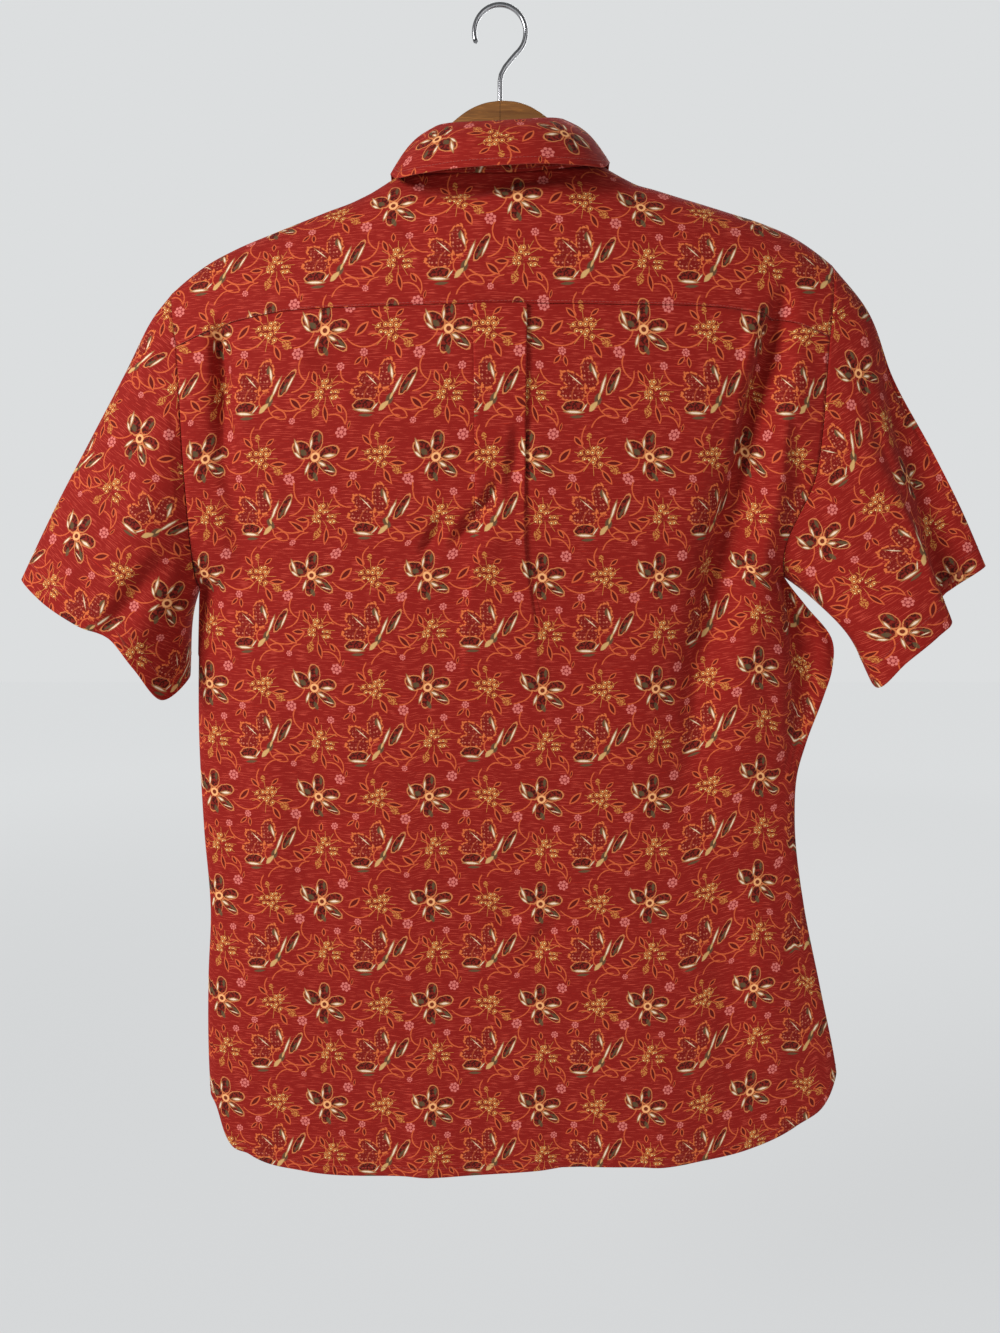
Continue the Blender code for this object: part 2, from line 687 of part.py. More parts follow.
def stand_points():
    """Columns run round the neck from the left front end to the right, rows from the seam up."""
    lap_angle = math.asin(FRONT_LAP / NECK_HALF_WIDTH)
    angles = np.linspace(-math.pi - lap_angle, math.pi + lap_angle, 57)
    t, q = neck_place(angles)
    foot = both_faces(t, q)
    head = stand_top(angles)
    rise = head - foot
    foot = foot + rise / np.linalg.norm(rise, axis=1)[:, None] * (WALL + SEAM_GAP)
    share = np.linspace(0, 1, 4)[:, None, None]
    points = foot + (head - foot) * share
    bulge = np.sin(share * math.pi) * STAND_BULGE
    outward = np.stack([np.sin(angles), -np.cos(angles), np.zeros_like(angles)], axis=-1)
    points = points + bulge * outward
    points[..., 1] += lap_offset(angles)
    return points


def stand_frame(angles):
    """The stand's upper edge with its directions up the stand and out of it."""
    t, q = neck_place(angles)
    head = stand_top(angles)
    up = head - both_faces(t, q)
    run = stand_top(angles + 0.01) - stand_top(angles - 0.01)
    run /= np.linalg.norm(run, axis=1)[:, None]
    up -= run * (up * run).sum(axis=1)[:, None]
    up /= np.linalg.norm(up, axis=1)[:, None]
    head[:, 1] += lap_offset(angles)
    return head, up, np.cross(run, up)


def leaf_points():
    """Columns run round the neck, rows from the roll over the stand to the free edge."""
    angles = np.linspace(-LEAF_END_ANGLE, LEAF_END_ANGLE, 53)
    head, up, out = stand_frame(angles)
    edge = along(LEAF_EDGE, np.degrees(np.abs(angles)))
    edge[:, 0] *= np.sign(angles)
    edge[:, 2] += COLLAR_TILT * edge[:, 0]
    rows = [head + out * away + up * high for away, high in LEAF_ROLL]
    start = rows[-1]
    for share in (0.25, 0.5, 0.75, 1.0):
        bow = LEAF_BOW * math.sin(share * math.pi)
        rows.append(start + (edge - start) * share + (out + up) * bow)
    return np.array(rows)


def make_material(name):
    red, green, blue, roughness, metallic = MATERIALS[name]
    material = bpy.data.materials.new(name)
    material.use_nodes = True
    shader = material.node_tree.nodes["Principled BSDF"]
    shader.inputs["Base Color"].default_value = (red, green, blue, 1.0)
    shader.inputs["Roughness"].default_value = roughness
    shader.inputs["Metallic"].default_value = metallic
    material.diffuse_color = (red, green, blue, 1.0)
    return material


def add_object(name, mesh, material, home):
    piece = bpy.data.objects.new(name, mesh)
    piece.data.materials.append(material)
    home.objects.link(piece)
    return piece


def add_wall(name, points, outward, material, home, closed=False):
    """A grid of points as cloth: faces look outward, and the wall is turned in from them."""
    rows, columns = points.shape[:2]
    corners = [tuple(point) for point in points.reshape(-1, 3)]
    faces = []
    for row in range(rows - 1):
        for column in range(columns if closed else columns - 1):
            beside = (column + 1) % columns
            faces.append((row * columns + column, row * columns + beside,
                          (row + 1) * columns + beside, (row + 1) * columns + column))
    mesh = bpy.data.meshes.new(name)
    mesh.from_pydata(corners, [], faces)
    row, column = rows // 2, columns // 4
    normal = mesh.polygons[row * (columns if closed else columns - 1) + column].normal
    if normal.dot(outward(points[row, column])) < 0:
        mesh.flip_normals()
    mesh.shade_smooth()
    piece = add_object(name, mesh, material, home)
    wall = piece.modifiers.new("wall", "SOLIDIFY")
    wall.thickness = WALL
    wall.offset = -1.0
    wall.use_even_offset = True
    wall.use_rim = True
    return piece


def away_from(centre):
    """A direction test that points away from a centre."""
    def direction(point):
        return [point[axis] - centre[axis] for axis in range(3)]
    return direction


def hanger_top(x):
    """Upper edge of the wood: the crown stands in the neck, and the arms run under the yoke."""
    width = abs(x)
    under_cloth = float(ridge(np.array(x))) - WALL - HANGER_GAP
    crown = float(along(CROWN_TOP, np.array(width))) + SHOULDER_TILT * x
    blend = float(ease(0.073, 0.090, width))
    return crown + (under_cloth - crown) * blend


def add_hanger_half(name, side, material, home):
    """One wooden arm: its outline drawn as a plate, with rounded edges."""
    places = [SEAM_GAP / 2, *ARM_PLACES, HANGER_END_X - ARM_TIP_RUN]
    upper = [(side * x, hanger_top(side * x)) for x in places]
    lower = [(x, z - float(along(ARM_DEPTH, np.array(abs(x))))) for x, z in upper]
    tip_x, tip_z = upper[-1]
    tip_depth = float(along(ARM_DEPTH, np.array(HANGER_END_X)))
    tip = [(side * HANGER_END_X, tip_z - tip_depth * 0.3), (side * HANGER_END_X, tip_z - tip_depth * 0.75)]
    outline = upper + tip + lower[::-1]
    plate = bmesh.new()
    ring = [plate.verts.new((x, -HANGER_HALF_THICKNESS, z)) for x, z in outline]
    face = plate.faces.new(ring if side > 0 else ring[::-1])
    lifted = bmesh.ops.extrude_face_region(plate, geom=[face])
    moved = [item for item in lifted["geom"] if isinstance(item, bmesh.types.BMVert)]
    bmesh.ops.translate(plate, verts=moved, vec=(0, 2 * HANGER_HALF_THICKNESS, 0))
    bmesh.ops.recalc_face_normals(plate, faces=plate.faces)
    mesh = bpy.data.meshes.new(name)
    plate.to_mesh(mesh)
    plate.free()
    piece = add_object(name, mesh, material, home)
    rounding = piece.modifiers.new("rounded edges", "BEVEL")
    rounding.width = HANGER_EDGE_RADIUS
    rounding.segments = 2
    rounding.limit_method = "ANGLE"
    rounding.angle_limit = math.radians(50)
    return piece


def add_hook(material, home):
    """Bent wire: a straight stem, a bend to the side and the round hook, whose inner top is the origin."""
    centre_z = HOOK_WIRE_RADIUS - HOOK_BEND_RADIUS
    stem_bottom = HOOK_BASE_Z - HOOK_HOLE_DEPTH + 2 * SEAM_GAP
    path = [(0.0, stem_bottom), *HOOK_BEND]
    for degrees in HOOK_STEPS:
        turn = math.radians(degrees)
        path.append((HOOK_BEND_RADIUS * math.cos(turn), centre_z + HOOK_BEND_RADIUS * math.sin(turn)))
    wire = bpy.data.curves.new("hanger_hook", "CURVE")
    wire.dimensions = "3D"
    wire.bevel_depth = HOOK_WIRE_RADIUS
    wire.bevel_resolution = 2
    wire.use_fill_caps = True
    run = wire.splines.new("POLY")
    run.points.add(len(path) - 1)
    for point, (x, z) in zip(run.points, path):
        point.co = (x, 0.0, z, 1.0)
    return add_object("hanger_hook", wire, material, home)


def drill_for_hook(halves, guides):
    """Cuts the stem's blind hole, which the joint of the two halves runs through."""
    radius = HOOK_WIRE_RADIUS + SEAM_GAP
    drill = bmesh.new()
    bmesh.ops.create_cone(drill, cap_ends=True, segments=16, radius1=radius, radius2=radius,
                          depth=DRILL_LENGTH)
    mesh = bpy.data.meshes.new("stem_drill")
    drill.to_mesh(mesh)
    drill.free()
    cutter = bpy.data.objects.new("stem_drill", mesh)
    cutter.location = (0, 0, HOOK_BASE_Z - HOOK_HOLE_DEPTH + DRILL_LENGTH / 2)
    cutter.hide_render = True
    cutter.display_type = "WIRE"
    guides.objects.link(cutter)
    for half in halves:
        cut = half.modifiers.new("stem hole", "BOOLEAN")
        cut.operation = "DIFFERENCE"
        cut.object = cutter


def button_mesh(material):
    """A turned disc with a raised rim, its axis along Z and its flat back at 0."""
    profile = ((0.0, 0.0), (BUTTON_RADIUS - 0.0003, 0.0), (BUTTON_RADIUS, 0.0010),
               (BUTTON_RADIUS - 0.0007, BUTTON_THICKNESS),
               (BUTTON_DISH_RADIUS, BUTTON_THICKNESS - 0.0001),
               (BUTTON_DISH_RADIUS - 0.0006, BUTTON_THICKNESS - BUTTON_DISH_DEPTH),
               (0.0, BUTTON_THICKNESS - BUTTON_DISH_DEPTH))
    turned = bmesh.new()
    verts = [turned.verts.new((radius, 0.0, height)) for radius, height in profile]
    edges = [turned.edges.new(pair) for pair in zip(verts[:-1], verts[1:])]
    bmesh.ops.spin(turned, geom=verts + edges, cent=(0, 0, 0), axis=(0, 0, 1),
                   angle=2 * math.pi, steps=16, use_duplicate=False)
    bmesh.ops.remove_doubles(turned, verts=turned.verts, dist=0.00001)
    bmesh.ops.recalc_face_normals(turned, faces=turned.faces)
    mesh = bpy.data.meshes.new("button")
    turned.to_mesh(mesh)
    turned.free()
    mesh.materials.append(material)
    mesh.shade_smooth()
    mesh.set_sharp_from_angle(angle=math.radians(35))
    return mesh


def front_surface(z):
    """A point on the left front's centre line and the direction straight out of it."""
    t = np.zeros(3)
    q = q_at_height(t, np.array([z + 0.004, z, z - 0.004]))
    points = torso(t, q, 1)
    points[:, 1] += LAP_STEP
    slope = points[0] - points[2]
    outward = np.array([0.0, slope[2], -slope[1]])
    return points[1], outward / np.linalg.norm(outward)


def add_buttons(material, home):
    """A row down the centre front, and one on the collar stand."""
    mesh = button_mesh(material)
    places = [front_surface(FIRST_BUTTON_Z - BUTTON_PITCH * index) for index in range(BUTTON_COUNT)]
    stand = stand_points()[:, 4]
    rise = stand[-1] - stand[0]
    outward = np.array([0.0, rise[2], -rise[1]])
    outward /= np.linalg.norm(outward)
    middle = (stand[1] + stand[2]) / 2
    places.insert(0, (np.array([0.0, middle[1] + 0.0002, middle[2]]), outward))
    for index, (point, direction) in enumerate(places):
        name = "button_collar" if index == 0 else f"button_{index}"
        piece = bpy.data.objects.new(name, mesh)
        piece.location = point + direction * BUTTON_GAP
        piece.rotation_euler = (-math.atan2(direction[1], direction[2]), 0.0, 0.0)
        home.objects.link(piece)


def build():
    for old in list(bpy.data.objects):
        bpy.data.objects.remove(old, do_unlink=True)
    home = bpy.data.collections.new("shirt_on_hanger")
    guides = bpy.data.collections.new("cutters")
    bpy.context.scene.collection.children.link(home)
    bpy.context.scene.collection.children.link(guides)
    cotton, wood, steel, button = (make_material(name) for name in ("cotton", "wood", "steel", "button"))

    body_centre = (0.0, 0.015, -0.5)
    add_wall("yoke", yoke_points(), away_from((0.0, 0.0, -0.3)), cotton, home)
    add_wall("back", back_points(), away_from(body_centre), cotton, home)
    add_wall("front_left", front_points(-1), away_from(body_centre), cotton, home)
    add_wall("front_right", front_points(1), away_from(body_centre), cotton, home)
    left = sleeve_points(-1, LEFT_CUFF, LEFT_TOP_LINE, LEFT_UNDER_LINE)
    right = sleeve_points(1, RIGHT_CUFF, RIGHT_TOP_LINE, RIGHT_UNDER_LINE)
    for name, points in (("sleeve_left", left), ("sleeve_right", right)):
        middle = points[len(points) // 2].mean(axis=0)
        add_wall(name, points, away_from(middle), cotton, home, closed=True)
    add_wall("collar_stand", stand_points(), away_from((0.0, 0.0, -0.14)), cotton, home)
    add_wall("collar_leaf", leaf_points(), away_from((0.0, 0.0, -0.14)), cotton, home)
    add_buttons(button, home)
    halves = [add_hanger_half("hanger_left", -1, wood, home), add_hanger_half("hanger_right", 1, wood, home)]
    drill_for_hook(halves, guides)
    add_hook(steel, home)


build()
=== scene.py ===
import json
import math

import bmesh
import bpy
import numpy as np
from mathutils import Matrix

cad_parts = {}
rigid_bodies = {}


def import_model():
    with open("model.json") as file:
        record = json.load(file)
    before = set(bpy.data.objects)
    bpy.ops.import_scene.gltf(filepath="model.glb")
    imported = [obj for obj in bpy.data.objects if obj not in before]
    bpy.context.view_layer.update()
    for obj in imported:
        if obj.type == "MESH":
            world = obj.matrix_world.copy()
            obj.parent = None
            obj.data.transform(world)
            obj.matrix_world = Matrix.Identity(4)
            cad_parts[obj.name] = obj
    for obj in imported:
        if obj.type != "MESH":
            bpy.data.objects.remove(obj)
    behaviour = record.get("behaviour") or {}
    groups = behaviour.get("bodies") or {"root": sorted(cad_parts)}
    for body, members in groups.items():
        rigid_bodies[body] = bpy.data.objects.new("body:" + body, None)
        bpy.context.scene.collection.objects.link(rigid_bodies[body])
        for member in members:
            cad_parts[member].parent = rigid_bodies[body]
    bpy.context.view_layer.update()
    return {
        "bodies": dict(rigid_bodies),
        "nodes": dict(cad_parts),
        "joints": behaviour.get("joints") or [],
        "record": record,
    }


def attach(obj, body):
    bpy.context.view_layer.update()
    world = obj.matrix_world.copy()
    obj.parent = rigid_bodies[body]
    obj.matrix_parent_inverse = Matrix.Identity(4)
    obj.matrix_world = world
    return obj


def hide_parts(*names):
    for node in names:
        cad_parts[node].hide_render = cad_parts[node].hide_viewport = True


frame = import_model()

MILLIMETRE = 0.001

# Cloth as it is sewn: thickness, turned hem and stitching
CLOTH = 0.0006
HEM_TURN = 0.0085
HEM_FOLD = 0.0007
TUCK = 0.0045
HEM_SEWN = 0.0075
CUFF_SEWN = 0.016
LEAF_SEWN = 0.005
LEAF_SIDE_FROM = 6
PLACKET_WIDTH = 0.033
STITCH_PITCH = 0.0026
STITCH_LENGTH = 0.0021
STITCH_RADIUS = 0.00020
SEAM_SEWN = 0.0016
EDGE_SEWN = 0.002
PLEAT_TUCK = 0.04
BUTTONHOLE_HALF_WIDTH = 0.0008
BUTTONHOLE_HALF_LENGTH = 0.0085

# A stitch's sections: place along it in shares of its length, lift and width in shares of its radius
STITCH_SECTIONS = ((-0.5, -0.3, 0.5), (-0.32, 0.55, 1.0), (0.32, 0.55, 1.0), (0.5, -0.3, 0.5))

# Steps of the turned hem: inwards and down in shares of its fold, cloth used
HEM_STEPS = ((0.3, 0.25, 0.0003), (0.8, 0.1, 0.0008), (1.0, -1.0, 0.002), (1.0, -5.0, 0.005),
             (1.0, -HEM_TURN / HEM_FOLD, HEM_TURN))

# Steps of an edge tucked under its neighbour: reach, depth
TUCK_STEPS = ((0.0003, 0.0008), (TUCK, 0.0013))

# Print: side of its square repeat
REPEAT = 0.087

# Cloth and gaps
WALL = 0.0010
SEAM_GAP = 0.0003
EDGE_INSET = 0.0018

# Columns of the yoke from the ridge to a seam, closest where the cloth bends over the hanger
ARMHOLE_STEPS = np.array([0.0, 0.10, 0.24, 0.46, 0.72, 1.0])

# Shoulders and hanger plane
NECK_HALF_WIDTH = 0.0725
NECK_POINT_Z = -0.1125
NECK_RISE = 0.0198
NECK_DOME = 0.0347
SHOULDER_TILT = 0.045
RIDGE_END_X = 0.242
RIDGE_END_Z = -0.187
CAP_END_Z = -0.235
CAP_END_TILT = 0.0038
DROP_PER_Q = 0.1
UNDERARM_Q = 2.76
UNDERARM_FORK = 0.0009

# Neck seam, as angles round the cap and round the neck
NECK_BACK_CAP = math.radians(52.2)
NECK_FRONT_CAP = math.radians(76.3)
YOKE_END_ANGLE = math.radians(123.0)
YOKE_CORNER_ANGLE = math.radians(72.0)
FRONT_SEAM_Q = 0.806
FRONT_LAP = 0.016
LAP_STEP = 0.0009
LAP_BLEND = 0.035
LAP_FROM_ANGLE = 2.45
LAP_FULL_ANGLE = 2.9

# Shoulder ridge: distance from the centre, height
RIDGE = (
    (0.0725, -0.1125),
    (0.0967, -0.1257),
    (0.116, -0.1324),
    (0.164, -0.1484),
    (0.193, -0.1585),
    (0.2156, -0.169),
    (0.241, -0.187),
    (0.260, -0.204),
)

# Outline from behind: depth below the origin, half width on the left
LEFT_EDGE = (
    (0.100, 0.2435),
    (0.187, 0.2410),
    (0.235, 0.2350),
    (0.330, 0.2320),
    (0.415, 0.2335),
    (0.4255, 0.2341),
    (0.5352, 0.2395),
    (0.6087, 0.2387),
    (0.6799, 0.2360),
    (0.7337, 0.2399),
    (0.806, 0.2425),
    (0.850, 0.2420),
)

# Outline from behind: depth below the origin, half width on the right
RIGHT_EDGE = (
    (0.100, 0.2450),
    (0.187, 0.2430),
    (0.235, 0.2377),
    (0.330, 0.2325),
    (0.4065, 0.2195),
    (0.430, 0.2380),
    (0.456, 0.2600),
    (0.480, 0.2620),
    (0.5027, 0.2562),
    (0.5376, 0.2447),
    (0.5676, 0.2375),
    (0.6004, 0.2370),
    (0.6714, 0.2471),
    (0.7449, 0.2640),
    (0.821, 0.2811),
    (0.850, 0.2850),
)

# Width of the right half away from its side, where the gusset's flare dies out: depth, half width
RIGHT_PANEL = (
    (0.100, 0.2450),
    (0.187, 0.2430),
    (0.235, 0.2377),
    (0.330, 0.2345),
    (0.450, 0.2385),
    (0.5676, 0.2390),
    (0.6714, 0.2471),
    (0.7449, 0.2640),
    (0.821, 0.2811),
    (0.850, 0.2850),
)
FLARE_SHARPNESS = 4

# Side section: depth below the origin, back y, side seam y, front y
SIDE_SECTION = (
    (0.100, -0.0555, 0.000, 0.0550),
    (0.235, -0.0550, 0.002, 0.0550),
    (0.320, -0.0460, 0.006, 0.0560),
    (0.410, -0.0340, 0.010, 0.0560),
    (0.490, -0.0210, 0.013, 0.0550),
    (0.580, -0.0120, 0.015, 0.0530),
    (0.675, -0.0060, 0.016, 0.0510),
    (0.755, -0.0040, 0.017, 0.0500),
    (0.837, -0.0045, 0.018, 0.0490),
    (0.900, -0.0060, 0.018, 0.0480),
)
ARMHOLE_HALF_DEPTH = 0.033

# Where across the body the armhole's own depth takes over, and the depth below the origin where the
# chest's depth has died out
SIDE_BLEND = (0.78, 0.97)
CHEST_END = 0.47

# Depths between which the section turns from a flat curve with open edges into a rounded tube
TUBE_FROM = 0.37
TUBE_FULL = 0.47
FLATNESS = 2.2
FOLD_EDGE_FADE = 8

# Hem: place across as a share of the half width, height
HEM = (
    (-1.00, -0.838),
    (-0.98, -0.8456),
    (-0.95, -0.8690),
    (-0.86, -0.8858),
    (-0.67, -0.8968),
    (-0.35, -0.8981),
    (0.00, -0.8952),
    (0.19, -0.8915),
    (0.56, -0.8877),
    (0.72, -0.8788),
    (0.86, -0.8613),
    (0.975, -0.834),
    (1.00, -0.8195),
)

# Mean half width of the body at the hem
HEM_HALF_WIDTH = 0.24

# Back yoke seam: place across as a share of the half width, height
BACK_SEAM = (
    (-1.00, -0.2407),
    (-0.86, -0.2290),
    (-0.70, -0.2215),
    (-0.35, -0.2185),
    (0.00, -0.2175),
    (0.35, -0.2175),
    (0.70, -0.2185),
    (0.86, -0.2240),
    (1.00, -0.2342),
)

# Largest folds of the back: each follows its own line, depth below the origin, x, outward height, half width
RIGHT_CREASE = (
    (0.225, 0.194, 0.0000, 0.014),
    (0.266, 0.181, -0.0050, 0.016),
    (0.349, 0.170, -0.0080, 0.018),
    (0.431, 0.1575, -0.0075, 0.020),
    (0.491, 0.146, -0.0060, 0.024),
    (0.559, 0.1385, -0.0035, 0.028),
    (0.640, 0.1340, 0.0000, 0.030),
)
RIGHT_ROLL = (
    (0.225, 0.208, 0.0000, 0.016),
    (0.300, 0.200, 0.0040, 0.018),
    (0.400, 0.190, 0.0055, 0.020),
    (0.491, 0.178, 0.0045, 0.024),
    (0.600, 0.168, 0.0000, 0.030),
)
LEFT_CREASE = (
    (0.222, -0.199, 0.0000, 0.012),
    (0.250, -0.200, -0.0030, 0.013),
    (0.293, -0.205, -0.0040, 0.014),
    (0.335, -0.213, -0.0025, 0.015),
    (0.380, -0.220, 0.0000, 0.016),
)
SIDE_BILLOW = (
    (0.460, -0.110, 0.0000, 0.050),
    (0.560, -0.105, 0.0030, 0.060),
    (0.680, -0.115, 0.0035, 0.060),
    (0.800, -0.120, 0.0000, 0.060),
)
BACK_FOLDS = (RIGHT_CREASE, RIGHT_ROLL, LEFT_CREASE, SIDE_BILLOW)

# Largest folds of the front, in the same columns
FRONT_LEFT_FOLD = (
    (0.240, -0.185, 0.0000, 0.016),
    (0.330, -0.172, -0.0050, 0.018),
    (0.450, -0.150, -0.0055, 0.022),
    (0.600, -0.135, 0.0000, 0.030),
)
FRONT_RIGHT_FOLD = (
    (0.240, 0.188, 0.0000, 0.016),
    (0.330, 0.176, -0.0060, 0.018),
    (0.450, 0.158, -0.0065, 0.022),
    (0.600, 0.142, 0.0000, 0.030),
)
FRONT_FOLDS = (FRONT_LEFT_FOLD, FRONT_RIGHT_FOLD)

# Box pleat under the yoke
STRIP_HALF_WIDTH = 0.0185
UNDERFOLD = 0.0085
TURN_OUT_RADIUS = 0.0013
TURN_IN_RADIUS = 0.0003
PLEAT_FADE = 0.290
PLEAT_FLAT_FROM = 0.45

# Left sleeve's cuff: degrees round the sleeve from its top, over the back, x, y, z
LEFT_CUFF = (
    (0, -0.3670, 0.000, -0.4087),
    (30, -0.3430, -0.020, -0.4260),
    (60, -0.3140, -0.031, -0.4420),
    (90, -0.2890, -0.034, -0.4530),
    (120, -0.2730, -0.031, -0.4745),
    (150, -0.2575, -0.018, -0.5000),
    (180, -0.2440, 0.008, -0.4870),
    (210, -0.2530, 0.028, -0.4780),
    (240, -0.2730, 0.036, -0.4650),
    (270, -0.2980, 0.038, -0.4500),
    (300, -0.3240, 0.034, -0.4360),
    (330, -0.3500, 0.020, -0.4210),
)

# Right sleeve's cuff, with the fold that shows in front of the outer lobe
RIGHT_CUFF = (
    (0, 0.3730, 0.002, -0.3989),
    (30, 0.3490, -0.006, -0.4150),
    (57, 0.3340, -0.012, -0.4290),
    (75, 0.3355, -0.029, -0.4400),
    (92, 0.3230, -0.036, -0.4500),
    (120, 0.3010, -0.036, -0.4690),
    (150, 0.2850, -0.021, -0.4900),
    (180, 0.2830, 0.008, -0.4670),
    (210, 0.2900, 0.030, -0.4520),
    (240, 0.3060, 0.038, -0.4400),
    (270, 0.3250, 0.039, -0.4280),
    (300, 0.3440, 0.034, -0.4170),
    (330, 0.3630, 0.020, -0.4050),
)

# Sleeve's upper line: share of the way from armhole to cuff, x, z
LEFT_TOP_LINE = (
    (0.00, -0.2410, -0.1978),
    (0.13, -0.2590, -0.2190),
    (0.25, -0.2766, -0.2501),
    (0.50, -0.3060, -0.2999),
    (0.77, -0.3397, -0.3577),
    (1.00, -0.3670, -0.4087),
)
RIGHT_TOP_LINE = (
    (0.00, 0.2430, -0.1761),
    (0.15, 0.2725, -0.2079),
    (0.34, 0.2942, -0.2570),
    (0.58, 0.3262, -0.3103),
    (0.80, 0.3522, -0.3565),
    (1.00, 0.3730, -0.3989),
)

# Sleeve's under line: share of the way, x, z
LEFT_UNDER_LINE = (
    (0.00, -0.2335, -0.4148),
    (0.30, -0.2395, -0.4340),
    (1.00, -0.2440, -0.4870),
)
RIGHT_UNDER_LINE = (
    (0.00, 0.2195, -0.4072),
    (0.30, 0.2430, -0.4240),
    (0.65, 0.2680, -0.4430),
    (1.00, 0.2830, -0.4670),
)

# Collar stand's upper edge
STAND_TOP_HALF_WIDTH = 0.049
STAND_TOP_BACK_Y = -0.0395
STAND_TOP_FRONT_Y = 0.0480
STAND_TOP_SIDE_Z = -0.0860
STAND_BACK_DROP = 0.0085
STAND_FRONT_DROP = 0.0820
STAND_BULGE = 0.0012
COLLAR_TILT = 0.050

# Collar leaf's edge: degrees from the centre back, x, y, z
LEAF_EDGE = (
    (0, 0.0000, -0.0667, -0.1310),
    (20, 0.0290, -0.0640, -0.1305),
    (40, 0.0560, -0.0530, -0.1290),
    (60, 0.0735, -0.0330, -0.1240),
    (75, 0.0785, -0.0150, -0.1150),
    (90, 0.0800, 0.0030, -0.1115),
    (110, 0.0800, 0.0300, -0.1295),
    (130, 0.0745, 0.0520, -0.1620),
    (150, 0.0625, 0.0625, -0.1940),
    (172, 0.0400, 0.0665, -0.2260),
)
LEAF_END_ANGLE = math.radians(172.0)
LEAF_BOW = 0.0035

# Collar leaf's roll over the stand: outward distance, height above the stand's edge
LEAF_ROLL = (
    (-0.0008, 0.0016),
    (0.0006, 0.0021),
    (0.0025, 0.0013),
)

# Hanger
HANGER_HALF_THICKNESS = 0.0065
HANGER_GAP = 0.0009
HANGER_END_X = 0.197
HOOK_WIRE_RADIUS = 0.0017
HOOK_BEND_RADIUS = 0.0185
HOOK_HOLE_DEPTH = 0.014
HOOK_BASE_Z = -0.065
HOOK_STEPS = range(-50, 201, 5)
HOOK_SIDES = 20
HOOK_FOOT_DOME = 0.0005
HOOK_TIP_DOME = 0.0016
ARM_STEPS = 64
ARM_TIP_SHARES = (0.3, 0.75)

# Bevelled border of the wood: distance in from the outline, depth below the face
WOOD_BORDER = ((0.0030, 0.0), (0.0026, 0.0001), (0.0004, 0.0009), (0.0, 0.0016))

# Distances from the middle between which the crown's edge turns into the arm's
CROWN_BLEND = (0.073, 0.090)

# Bend of the wire between its stem and the round hook: x, z
HOOK_BEND = (
    (0.0, -0.0660),
    (0.0, -0.0560),
    (0.0, -0.0500),
    (0.0008, -0.0455),
    (0.0035, -0.0405),
    (0.0080, -0.0352),
)

# Distance kept free at both ends of an arm's drawn edge
ARM_TIP_RUN = 0.004

# Half of the hanger's outline inside the neck: x, upper z
CROWN_TOP = (
    (0.0000, -0.0650),
    (0.0120, -0.0665),
    (0.0227, -0.0705),
    (0.0320, -0.0765),
    (0.0410, -0.0840),
    (0.0565, -0.0995),
    (0.0725, -0.1170),
)

# Depth of the wooden arm: x, upper edge to lower edge
ARM_DEPTH = (
    (0.000, 0.046),
    (0.040, 0.040),
    (0.080, 0.030),
    (0.140, 0.025),
    (0.197, 0.018),
)

# Buttons
BUTTON_GAP = 0.0004
FIRST_BUTTON_Z = -0.262
BUTTON_PITCH = 0.088
BUTTON_COUNT = 7

# Turned section of a button, from the middle of its back round the rim to the dished face: radius, height
BUTTON_PROFILE = (
    (0.0, 0.0), (0.0048, 0.0), (0.0053, 0.0003), (0.0056, 0.0010), (0.0055, 0.0017), (0.0051, 0.0022),
    (0.0046, 0.0024), (0.0040, 0.00235), (0.0035, 0.0021), (0.0031, 0.0018), (0.0027, 0.0017), (0.0, 0.0017),
)
BUTTON_HOLE_RADIUS = 0.0005
BUTTON_HOLE_PLACE = 0.0010
DRILL_LENGTH = 0.01

# Button on the stand: share of the stand's length, extra gap
STAND_BUTTON_PLACE = 1 / 14
STAND_BUTTON_GAP = 0.0002

# Thread that sews a button on
THREAD_REACH = 0.00105
THREAD_HEIGHT = 0.0021
THREAD_BOW = 0.0003
THREAD_DIP = 0.0012
THREAD_RADIUS = 0.00033


# Grids of the cloth
BACK_SIDE_COLUMNS = 88
BACK_UPPER_ROWS = 74
BACK_LOWER_ROWS = 112
YOKE_SEAM_COLUMNS = 181
YOKE_SIDE_COLUMNS = 41
YOKE_ROWS = 60
FRONT_SEAM_COLUMNS = 52
FRONT_NECK_COLUMNS = 34
SLEEVE_COLUMNS = 161
SLEEVE_ROWS = 84
COLLAR_COLUMNS = 225
STAND_ROWS = 14
LEAF_ROWS = 30
BACK_SEAM_MIDDLE = -0.2175

# A crease is deeper on one side of its line by this share
CREASE_LEAN = 0.35

# Grain of each sleeve: degrees that it leans out from straight down
SLEEVE_GRAIN = {-1: 38.0, 1: 35.0}

# Place of the print on each piece: how far its first flower lies across and down, in shares of the repeat
PRINT_PLACE = {
    "back": (0.37, 0.19),
    "yoke": (0.14, 0.16),
    "front_left": (0.20, 0.45),
    "front_right": (0.62, 0.45),
    "sleeve_left": (0.70, 0.13),
    "sleeve_right": (0.50, -0.12),
    "collar_stand": (0.30, 0.70),
    "collar_leaf": (-0.51, -0.32),
}

